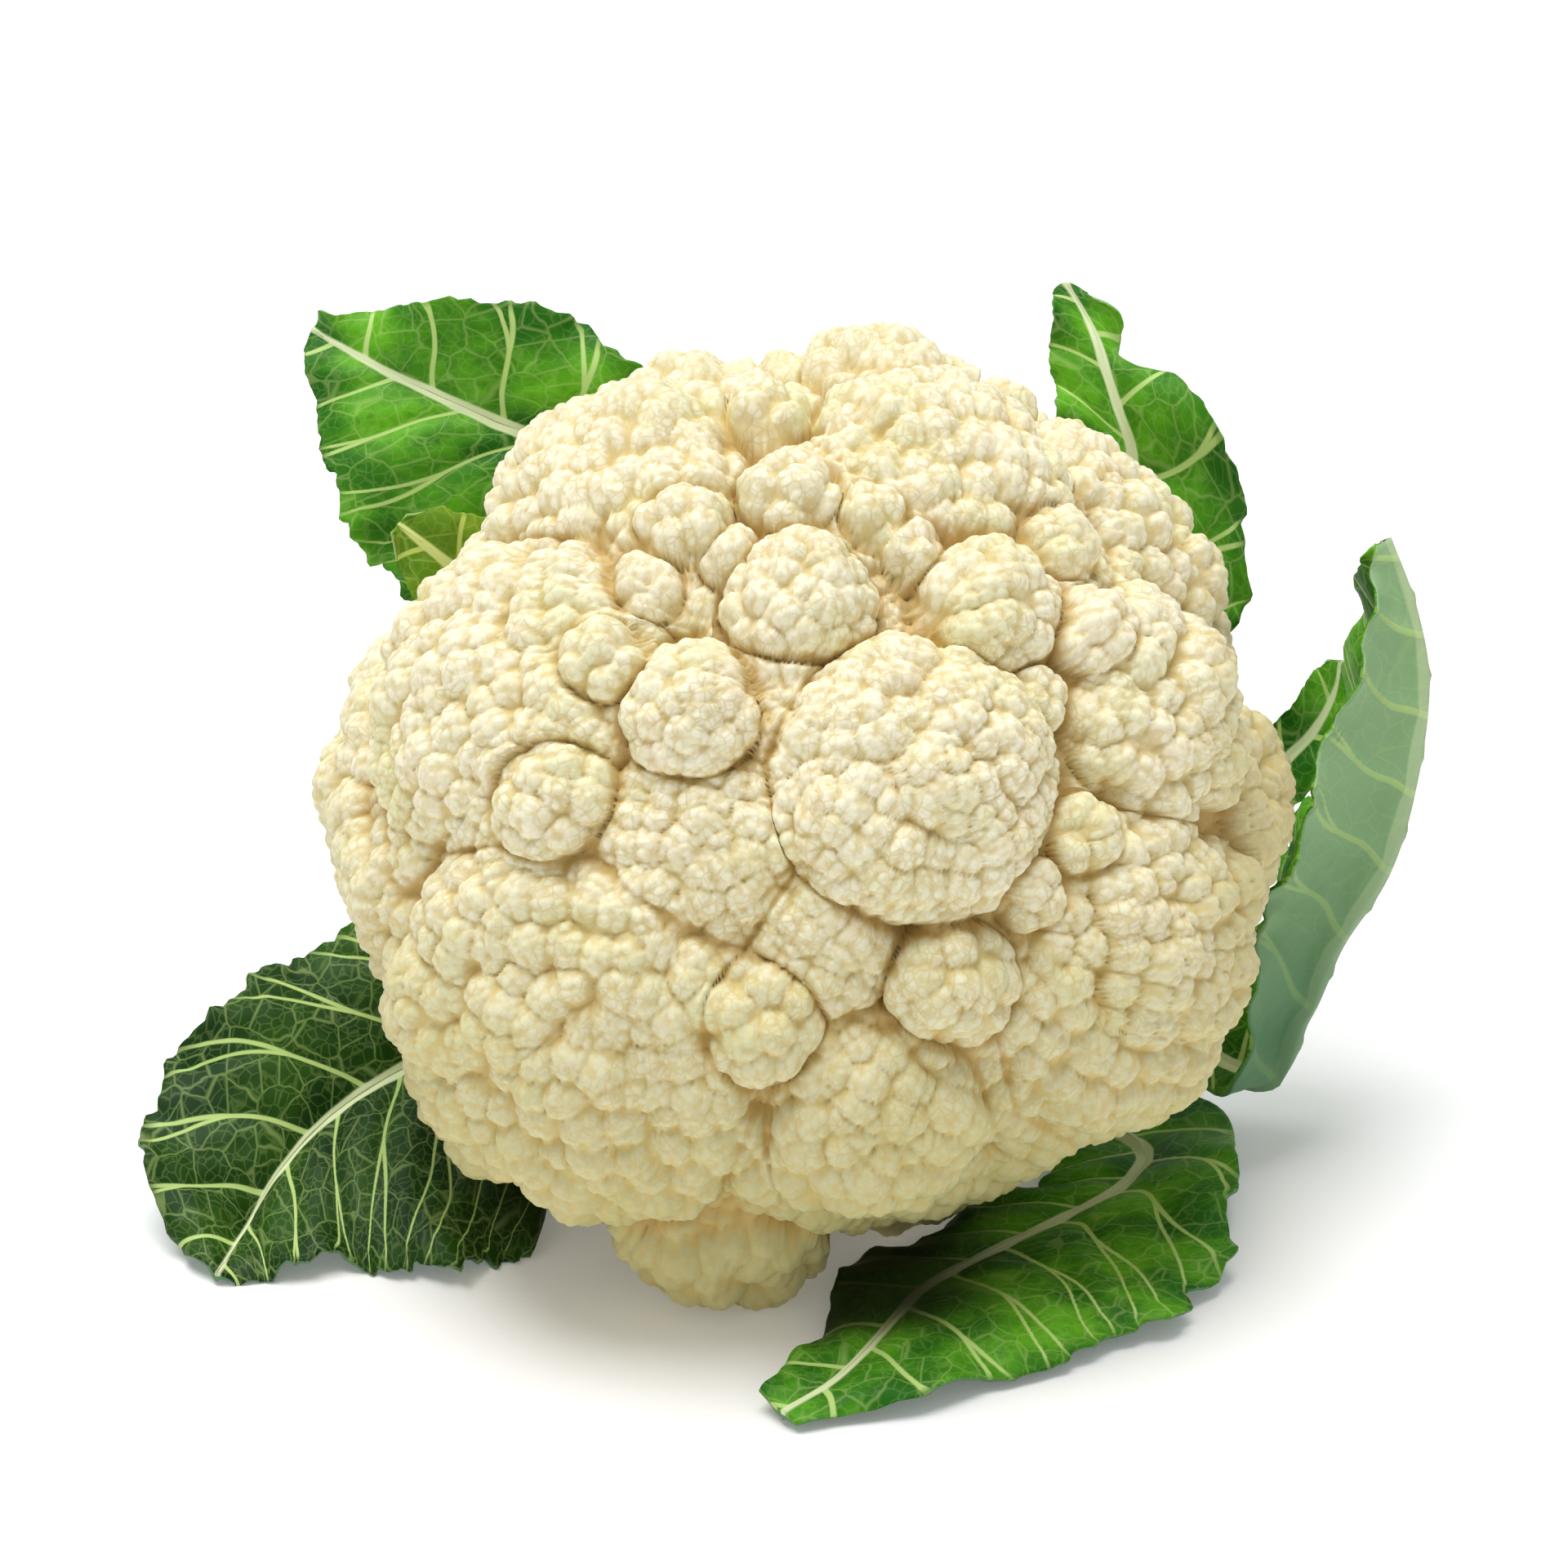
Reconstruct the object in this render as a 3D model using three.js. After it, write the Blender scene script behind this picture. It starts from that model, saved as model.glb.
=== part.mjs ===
// Cauliflower head, as picked and trimmed, lying on its side: the curd with its florets, the cut
// stump, seven leaves spread from the stump and four leaf bases cut short. Millimetres, +Z up.
// The origin is the middle of the flat spot on which the curd rests.

import * as THREE from 'three';
import { mergeVertices } from 'three/addons/utils/BufferGeometryUtils.js';

// Lie of the head
const HEAD_CENTRE = new THREE.Vector3(15.5, 47.5, 75); // widest level of the curd, on the stem's axis
const AXIS_RISE = THREE.MathUtils.degToRad(38);    // the stem's axis climbs towards the front
const AXIS_TURN = THREE.MathUtils.degToRad(5);     // and turns a little to the right

// Curd
const CURD_RADIUS = 80;        // solid body under the florets, at its widest level
const DOME_DEPTH = 56;         // body in front of that level
const UNDERSIDE_DEPTH = 42;    // body behind it
const CREVICE_FLOOR = 0.93;    // how far out the body stands between the florets
const NECK_LEVEL = -39;        // flat neck on which the curd sits on the stump
const CURD_DETAIL = 19;        // divisions of each face of the icosahedron that the curd starts from
const BUD_PITCH = 8.5;         // mean distance between the buds on a floret
const BUD_CROWDING = 0.85;     // above 0.5, buds are smaller at the floret's middle than at its rim
const BUD_RISE = 0.26;         // height of a bud over its radius
const BUD_REACH = THREE.MathUtils.degToRad(84); // buds cover the floret out to here

// Stump and leaves
const STUMP_LENGTH = 45;
const STUMP_SIDES = 36;
const STUMP_PROFILE = [[24, 0], [26.5, 10], [29, 22], [28.5, 34], [26.5, 41], [24.5, 45]];
const GAP = 0.3;               // between pieces that touch
const BLADE = 1.2;             // thickness of a leaf's blade
const PETIOLE = 7;             // thickness of a leaf's base on the stump
const MIDRIB = 3.6;            // thickness at the midrib where the blade begins
const RIB_HALF_WIDTH = 0.2;    // share of the half blade that the thick rib takes
const CURD_CLEARANCE = 2;      // least distance from a blade's middle to the florets
const STUMP_CLEARANCE = 1.6;   // the same to the stump
const BASE_LEVELS = [-80, -64]; // levels along the axis where a leaf's base lies on the stump
const LEAF_STEPS = 17;
const ACROSS = [-1, -0.74, -0.46, -0.2, -0.07, 0, 0.07, 0.2, 0.46, 0.74, 1];

// The front from which the florets and the leaves are placed: it looks down on the head
const FRONT_ELEVATION = THREE.MathUtils.degToRad(25);
const FRONT_DISTANCE = 1000;

const CREAM = 0xeee3c0;
const STUMP_GREEN = 0xcfd9a0;
const LEAF_GREEN = 0x3c7a2c;
const YOUNG_GREEN = 0x6fa53a;
const PALE_GREEN = 0x8fb487;

// Florets that the front shows: right, up, radius and rise, in millimetres from the head's centre.
// The rise is how far the floret's top stands over the body. Swells carry several florets.
const SWELLS = [
  [-55, 18, 29, 9], [-38, -40, 37, 11], [58, -33, 28, 8], [29, 60, 26, 8], [-29, 57, 23, 8],
  [62, 50, 22, 8], [-78, 4, 19, 7], [-18, -74, 22, 8], [62, 16, 22, 7], [11, -56, 20, 9],
  [84, 6, 19, 12], [16, 84, 18, 9], [-22, 76, 18, 6], [48, -58, 16, 3],
];
const FLORETS = [
  // top edge and upper right
  [17, 86, 13, 13], [5, 82, 10, 11], [30, 80, 11, 9], [-20, 77, 15, 10], [-36, 72, 13, 8],
  [28, 71, 15, 12], [40, 62, 12, 12], [51, 70, 14, 9], [-7, 69.5, 9, 9], [8, 67, 9, 10],
  [14, 56, 7, 9], [26, 58, 11, 12], [38, 50, 11, 12], [20, 46, 8, 10], [63, 56, 13, 11],
  [73, 44, 12, 10], [58, 42, 11, 10], [52, 56, 10, 10],
  // upper left
  [-31, 60, 15, 12], [-42, 56, 12, 10], [-20, 51, 9.5, 11], [-1.5, 57, 9.5, 11], [-48, 53, 11, 9],
  [-33, 47, 9, 9], [-24, 42, 8, 7],
  // middle row
  [1, 37, 13, 12], [15, 34.5, 5.5, 6], [32, 35, 14.5, 12], [48, 30, 7, 7], [-12, 33, 8, 4],
  // left bulge
  [-50, 33, 14, 12], [-62, 27, 15, 12], [-43, 21, 9.5, 12], [-20.5, 20.5, 13, 14],
  [-34, 33, 10, 11], [-45, 4, 13, 14], [-23, 4, 8.5, 9], [-62, 12, 14, 12], [-31, 11, 7, 9],
  [-56, -4, 10, 9], [-68, 2, 12, 10], [-76, 24, 11, 10], [-80, 11, 11, 10], [-79, -12, 12, 10],
  [-73, -20, 11, 9],
  // the floret that stands proud at the middle
  [19, 6, 25, 16], [-3, 10, 9, 4], [40, 0, 8, 5], [-13, -6, 13, 4], [3, -12, 8, 2], [-2, 20, 7, 3],
  // right bulge and the shaded florets beside it
  [61, 20, 14.5, 13], [66, 8, 12, 12], [72, 26, 12, 10], [52, 12, 9, 10], [46, 20, 7, 8],
  [79, -2, 13, 9], [88, 12, 15, 18], [82, 25, 11, 9], [86, -14, 11, 13],
  // lower right bulge
  [26.5, -29.5, 13, 10], [52, -15, 12, 11], [66, -16, 12, 11], [73, -28, 14, 12], [60, -30, 13, 12],
  [46, -38, 12, 11], [64, -46, 13, 12], [52, -54, 11, 9], [36, -40, 7, 5], [40, -26, 8, 7],
  [5, -23, 8, 3], [34, -58, 10, 2], [46, -64, 11, 3], [64, -56, 11, 7], [28, -48, 8, 3],
  // lower left bulge
  [-29.5, -17, 12, 12], [-9, -33, 12.5, 11], [-60, -20, 14, 12], [-46, -20, 11, 12],
  [-43, -36, 14, 14], [-27, -34, 12, 13], [-63, -38, 13, 14], [-73, -33, 11, 12],
  [-18, -52, 13, 12], [-34, -52, 13, 14], [-50, -52, 13, 14], [-66, -54, 13, 15],
  [-43, -66, 13, 14], [-58, -67, 12, 14], [-14, -20, 8, 6], [9, -36, 8, 4],
  // bottom
  [11.5, -54, 18, 13], [2, -64, 11, 11], [20, -65, 11, 9], [-8, -68, 10, 9], [-30, -74, 12, 11],
  [-16, -82, 12, 13], [-4, -79, 12, 9], [6, -76, 9, 6], [-22, -64, 9, 9], [-44, -79, 10, 10],
];
const REAR_FLORET_RADIUS = 13.5;
const REAR_FLORET_RISE = 8;
const REAR_FLORET_SPREAD = 3;  // by which the radius of one differs from the next
const REAR_LATTICE = 120;      // points of the spiral lattice over the whole body
const REAR_FROM = THREE.MathUtils.degToRad(93); // angle off the front where the lattice takes over
const CURD_EDGE = THREE.MathUtils.degToRad(124); // angle off the axis where the florets end
const BRANCH_COUNT = 11;       // ribs of the stalks under the florets
const BRANCH_RISE = 0.035;

const GOLDEN_ANGLE = Math.PI * (3 - Math.sqrt(5));
const UP = new THREE.Vector3(0, 0, 1);
const RIGHT = new THREE.Vector3(1, 0, 0);

// Head frame: the axis from the stump to the crown, one direction across and one uphill
const axis = new THREE.Vector3(
  Math.sin(AXIS_TURN) * Math.cos(AXIS_RISE),
  -Math.cos(AXIS_TURN) * Math.cos(AXIS_RISE),
  Math.sin(AXIS_RISE),
);
const across = new THREE.Vector3().crossVectors(UP, axis).normalize();
const uphill = new THREE.Vector3().crossVectors(axis, across);

// Front frame: the line of sight, and up as seen along it
const sight = new THREE.Vector3(0, Math.cos(FRONT_ELEVATION), -Math.sin(FRONT_ELEVATION));
const frontUp = new THREE.Vector3(0, Math.sin(FRONT_ELEVATION), Math.cos(FRONT_ELEVATION));
const eye = HEAD_CENTRE.clone().addScaledVector(sight, -FRONT_DISTANCE);

// The line from the eye through a place that the front shows, one unit long per unit of depth.
function lineOfSight(right, up) {
  return sight.clone()
    .addScaledVector(RIGHT, right / FRONT_DISTANCE)
    .addScaledVector(frontUp, up / FRONT_DISTANCE);
}

// A point that the front shows at right and up, at a depth behind the head's centre.
function seen(right, up, behind) {
  return eye.clone().addScaledVector(lineOfSight(right, up), FRONT_DISTANCE + behind);
}

// A point that the front shows at right and up, at a height over the resting surface.
function laid(right, up, height) {
  const line = lineOfSight(right, up);
  return eye.clone().addScaledVector(line, (height - eye.z) / line.z);
}

// A point by its level along the stem's axis, its distance from it and its angle round it.
function headPoint(level, distance, angle) {
  return HEAD_CENTRE.clone()
    .addScaledVector(axis, level)
    .addScaledVector(across, distance * Math.cos(angle))
    .addScaledVector(uphill, distance * Math.sin(angle));
}

// Where the line of sight first meets the body grown by an amount, as an offset from the centre.
// A line that misses it gives the nearest point of the body.
function onBody(right, up, growth) {
  const line = lineOfSight(right, up);
  const start = eye.clone().sub(HEAD_CENTRE);
  const hit = (depth) => {
    const scale = (v) => new THREE.Vector3(
      v.dot(axis) / (depth + growth),
      v.dot(across) / (CURD_RADIUS + growth),
      v.dot(uphill) / (CURD_RADIUS + growth),
    );
    const from = scale(start);
    const along = scale(line);
    const a = along.dot(along);
    const b = from.dot(along);
    const inside = b * b - a * (from.dot(from) - 1);
    const place = from.addScaledVector(along, (-b - Math.sqrt(Math.max(inside, 0))) / a).normalize();
    return new THREE.Vector3()
      .addScaledVector(axis, place.x * (depth + growth))
      .addScaledVector(across, place.y * (CURD_RADIUS + growth))
      .addScaledVector(uphill, place.z * (CURD_RADIUS + growth));
  };
  const front = hit(DOME_DEPTH);
  return front.dot(axis) >= 0 ? front : hit(UNDERSIDE_DEPTH);
}

// Distance from the centre to the smooth body in a direction: two half spheroids.
function bodyReach(direction) {
  const level = direction.dot(axis);
  const depth = level >= 0 ? DOME_DEPTH : UNDERSIDE_DEPTH;
  return 1 / Math.sqrt((1 - level * level) / CURD_RADIUS ** 2 + (level / depth) ** 2);
}

// A floret is a ball, and its buds are caps set round its outward direction in a golden spiral.
function makeFloret(centre, radius) {
  const outward = centre.clone().normalize();
  const side = new THREE.Vector3().crossVectors(outward, UP).normalize();
  const third = new THREE.Vector3().crossVectors(outward, side);
  const area = 2 * Math.PI * radius ** 2 * (1 - Math.cos(BUD_REACH));
  const count = Math.max(5, Math.round(area / BUD_PITCH ** 2));
  const buds = [];
  for (let k = 0; k < count; k += 1) {
    const share = (k + 0.5) / count;
    const tilt = BUD_REACH * share ** BUD_CROWDING;
    const turn = k * GOLDEN_ANGLE;
    const ownArea = 2 * Math.PI * radius ** 2 * Math.sin(tilt) * BUD_CROWDING * tilt / (k + 0.5);
    buds.push({
      radius: 0.72 * Math.sqrt(ownArea),
      centre: centre.clone()
        .addScaledVector(outward, radius * Math.cos(tilt))
        .addScaledVector(side, radius * Math.sin(tilt) * Math.cos(turn))
        .addScaledVector(third, radius * Math.sin(tilt) * Math.sin(turn)),
    });
  }
  return { centre, radius, buds };
}

// The florets on the sides and the back stand on a spiral lattice, clear of those in front.
function rearFlorets(front) {
  const found = [];
  for (let k = 0; k < REAR_LATTICE; k += 1) {
    const level = 1 - (2 * k + 1) / REAR_LATTICE;
    const turn = k * GOLDEN_ANGLE;
    const ring = Math.sqrt(1 - level * level);
    const direction = new THREE.Vector3()
      .addScaledVector(axis, level)
      .addScaledVector(across, ring * Math.cos(turn))
      .addScaledVector(uphill, ring * Math.sin(turn));
    const radius = REAR_FLORET_RADIUS + REAR_FLORET_SPREAD * Math.sin(k);
    const reach = bodyReach(direction) + REAR_FLORET_RISE - radius;
    const centre = direction.clone().multiplyScalar(reach);
    const turned = direction.angleTo(sight.clone().negate());
    const clear = [...front, ...found].every((other) => other.centre.distanceTo(centre) > 0.75 * radius);
    if (turned > REAR_FROM && direction.angleTo(axis) < CURD_EDGE && clear) {
      found.push(makeFloret(centre, radius));
    }
  }
  return found;
}

function allFlorets() {
  const front = [...SWELLS, ...FLORETS].map(([right, up, radius, rise]) => (
    makeFloret(onBody(right, up, rise - radius), radius)
  ));
  return [...front, ...rearFlorets(front)];
}

const florets = allFlorets();

// Far side of a floret's ball, grown by an amount, along a direction from the centre.
function floretReach(floret, direction, growth) {
  const middle = floret.centre.dot(direction);
  const spare = middle ** 2 - floret.centre.lengthSq() + (floret.radius + growth) ** 2;
  return spare < 0 ? 0 : middle + Math.sqrt(spare);
}

// The bare stalks under the florets: low ribs that fade out towards the neck.
function stalkReach(direction) {
  const turn = Math.atan2(direction.dot(uphill), direction.dot(across));
  const off = direction.angleTo(axis);
  const share = THREE.MathUtils.smoothstep(off, CURD_EDGE - 0.2, CURD_EDGE + 0.2);
  const rib = 1 + BRANCH_RISE * share * Math.cos(BRANCH_COUNT * turn);
  return bodyReach(direction) * THREE.MathUtils.lerp(CREVICE_FLOOR, 1, share) * rib;
}

// Distance from the centre to the outside of the curd: the outermost floret, with its buds.
function curdReach(direction) {
  let reach = stalkReach(direction);
  let winner = null;
  for (const floret of florets) {
    const own = floretReach(floret, direction, 0);
    if (own > reach) {
      reach = own;
      winner = floret;
    }
  }
  if (!winner) return reach;
  const place = direction.clone().multiplyScalar(reach);
  const rise = (bud) => BUD_RISE * (bud.radius - place.distanceToSquared(bud.centre) / bud.radius);
  return reach + Math.max(0, ...winner.buds.map(rise));
}

// The same without buds, grown by the clearance that the leaves keep.
function clearReach(direction) {
  const own = florets.map((floret) => floretReach(floret, direction, CURD_CLEARANCE));
  return Math.max(stalkReach(direction) + CURD_CLEARANCE, ...own);
}

function curdGeometry() {
  const sphere = new THREE.IcosahedronGeometry(1, CURD_DETAIL);
  sphere.deleteAttribute('normal');
  sphere.deleteAttribute('uv');
  const geometry = mergeVertices(sphere, 1e-5);
  const places = geometry.attributes.position;
  const point = new THREE.Vector3();
  for (let i = 0; i < places.count; i += 1) {
    point.fromBufferAttribute(places, i);
    const depth = point.z >= 0 ? DOME_DEPTH : UNDERSIDE_DEPTH;
    const direction = new THREE.Vector3()
      .addScaledVector(across, point.x * CURD_RADIUS)
      .addScaledVector(uphill, point.y * CURD_RADIUS)
      .addScaledVector(axis, point.z * depth)
      .normalize();
    const offset = direction.clone().multiplyScalar(curdReach(direction));
    const below = Math.max(0, NECK_LEVEL - offset.dot(axis));
    offset.addScaledVector(axis, below).add(HEAD_CENTRE);
    offset.z = Math.max(offset.z, 0);
    places.setXYZ(i, offset.x, offset.y, offset.z);
  }
  return geometry;
}

function stumpGeometry() {
  const profile = [...STUMP_PROFILE].reverse().map(([radius, down]) => new THREE.Vector2(radius, -down));
  profile.unshift(new THREE.Vector2(0, -STUMP_LENGTH));
  profile.push(new THREE.Vector2(0, 0));
  return new THREE.LatheGeometry(profile, STUMP_SIDES);
}

// Radius of the stump at a level along the axis.
function stumpRadius(level) {
  const down = NECK_LEVEL - GAP - level;
  for (let i = 1; i < STUMP_PROFILE.length; i += 1) {
    const [radius, end] = STUMP_PROFILE[i];
    const [before, start] = STUMP_PROFILE[i - 1];
    if (down <= end) {
      return THREE.MathUtils.mapLinear(Math.max(down, start), start, end, before, radius);
    }
  }
  return STUMP_PROFILE.at(-1)[0];
}

// Moves a point of a blade's middle sheet clear of the florets and of the stump.
function keepClear(point) {
  const offset = point.clone().sub(HEAD_CENTRE);
  const reach = clearReach(offset.clone().normalize());
  if (offset.length() < reach) offset.setLength(reach);
  const level = offset.dot(axis);
  if (level < NECK_LEVEL && level > NECK_LEVEL - STUMP_LENGTH - PETIOLE) {
    const outward = offset.clone().addScaledVector(axis, -level);
    const least = stumpRadius(level) + STUMP_CLEARANCE;
    if (outward.length() < least) offset.add(outward.clone().setLength(least - outward.length()));
  }
  return offset.add(HEAD_CENTRE);
}

// The three lines of a leaf at its base: they lie on the stump, about its own angle.
function baseLines(angle, spread) {
  const line = (turn) => BASE_LEVELS.map((level) => (
    headPoint(level, stumpRadius(level) + STUMP_CLEARANCE, angle + turn)
  ));
  return { left: line(spread), midrib: line(0), right: line(-spread) };
}

function smoothLine(points) {
  return new THREE.CatmullRomCurve3(points, false, 'catmullrom', 0.5);
}

// Directions square to a sheet of points, towards the leaf's upper face.
function sheetNormals(sheet) {
  const rows = sheet.length;
  const columns = sheet[0].length;
  return sheet.map((row, i) => row.map((_, j) => {
    const along = sheet[Math.min(i + 1, rows - 1)][j].clone().sub(sheet[Math.max(i - 1, 0)][j]);
    const over = row[Math.min(j + 1, columns - 1)].clone().sub(row[Math.max(j - 1, 0)]);
    return over.cross(along).normalize();
  }));
}

// A leaf is a sheet between its left edge, its midrib and its right edge, which is then arched,
// waved towards its edges and given its thickness. The rib stands out on the underside.
function leafGeometry({ lines, steps, arch, wave, waves, scallop, scallops, rib }) {
  const midrib = smoothLine(lines.midrib);
  const left = smoothLine(lines.left);
  const right = smoothLine(lines.right);
  const flat = [];
  for (let i = 0; i <= steps; i += 1) {
    const t = i / steps;
    const middle = midrib.getPoint(t);
    const edges = [left.getPoint(t), right.getPoint(t)];
    const cut = 1 + scallop * Math.sin(2 * Math.PI * scallops * t);
    flat.push(ACROSS.map((v) => {
      const share = Math.abs(v) * THREE.MathUtils.lerp(1, cut, v ** 4);
      return middle.clone().lerp(edges[v < 0 ? 0 : 1], share);
    }));
  }
  const square = sheetNormals(flat);
  const sheet = flat.map((row, i) => row.map((point, j) => {
    const v = ACROSS[j];
    const t = i / steps;
    const half = Math.abs(v) > 0 ? point.distanceTo(row[(ACROSS.length - 1) / 2]) / Math.abs(v) : 0;
    const blade = THREE.MathUtils.smoothstep(t, 0.15, 0.4);
    const bulge = arch * half * 4 * Math.abs(v) * (1 - Math.abs(v));
    const ripple = wave * v * v * Math.sin(2 * Math.PI * waves * t + (v < 0 ? 1.3 : 0));
    return keepClear(point.clone().addScaledVector(square[i][j], blade * (bulge + ripple)));
  }));
  const normals = sheetNormals(sheet);
  const upper = [];
  const under = [];
  sheet.forEach((row, i) => row.forEach((point, j) => {
    const t = i / steps;
    const base = 1 - THREE.MathUtils.smoothstep(t, 0.08, 0.4);
    const ridge = Math.max(0, 1 - Math.abs(ACROSS[j]) / RIB_HALF_WIDTH) * (1 - 0.75 * t);
    const depth = BLADE + (rib - BLADE) * ridge * (1 - base) + (PETIOLE - BLADE) * base * (1 - 0.55 * ACROSS[j] ** 2);
    const top = point.clone().addScaledVector(normals[i][j], BLADE / 2);
    const bottom = top.clone().addScaledVector(normals[i][j], -depth);
    const sunk = Math.max(0, -bottom.z, -top.z);
    top.z += Math.max(0, -top.z, base < 0.5 ? sunk : 0);
    bottom.z += sunk;
    upper.push(top);
    under.push(bottom);
  }));
  return closedSheet(upper, under, sheet.length, ACROSS.length);
}

// A closed body from two grids of points with the same triangles on both, joined round the rim.
function closedSheet(upper, under, rows, columns) {
  const count = rows * columns;
  const index = [];
  for (let i = 0; i < rows - 1; i += 1) {
    for (let j = 0; j < columns - 1; j += 1) {
      const a = i * columns + j;
      const b = a + 1;
      const c = a + columns;
      const d = c + 1;
      index.push(a, b, c, b, d, c);
      index.push(count + a, count + c, count + b, count + b, count + c, count + d);
    }
  }
  const rim = [];
  for (let j = 0; j < columns; j += 1) rim.push(j);
  for (let i = 1; i < rows; i += 1) rim.push(i * columns + columns - 1);
  for (let j = columns - 2; j >= 0; j -= 1) rim.push((rows - 1) * columns + j);
  for (let i = rows - 2; i > 0; i -= 1) rim.push(i * columns);
  rim.forEach((a, k) => {
    const b = rim[(k + 1) % rim.length];
    index.push(a, count + a, b, b, count + a, count + b);
  });
  const geometry = new THREE.BufferGeometry();
  const flat = [...upper, ...under].flatMap((p) => [p.x, p.y, p.z]);
  geometry.setAttribute('position', new THREE.Float32BufferAttribute(flat, 3));
  geometry.setIndex(index);
  return geometry;
}

// A spread leaf: its stations give the left edge, the midrib and the right edge as seen with its
// tip up and its upper face in front.
function spreadLeaf({ angle, spread, stations, arch, wave, waves, scallop, scallops }) {
  const base = baseLines(THREE.MathUtils.degToRad(angle), THREE.MathUtils.degToRad(spread));
  const lines = {
    left: [...base.left, ...stations.map((s) => s[0])],
    midrib: [...base.midrib, ...stations.map((s) => s[1])],
    right: [...base.right, ...stations.map((s) => s[2])],
  };
  return leafGeometry({ lines, steps: LEAF_STEPS, arch, wave, waves, scallop, scallops, rib: MIDRIB });
}

// A leaf base cut short: it stands off the stump towards its cut end.
function cutBase({ angle, spread, reach, stand }) {
  const middle = THREE.MathUtils.degToRad(angle);
  const half = THREE.MathUtils.degToRad(spread);
  const base = baseLines(middle, half);
  const end = BASE_LEVELS[1] + reach;
  const line = (turn, start) => [
    ...start,
    headPoint(end - reach / 2, stumpRadius(end - reach / 2) + STUMP_CLEARANCE + stand * 0.3, middle + turn),
    headPoint(end, stumpRadius(end) + STUMP_CLEARANCE + stand, middle + turn * 0.9),
  ];
  const lines = {
    left: line(half, base.left), midrib: line(0, base.midrib), right: line(-half, base.right),
  };
  return leafGeometry({
    lines, steps: 5, arch: 0, wave: 0, waves: 1, scallop: 0, scallops: 1, rib: PETIOLE,
  });
}

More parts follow.
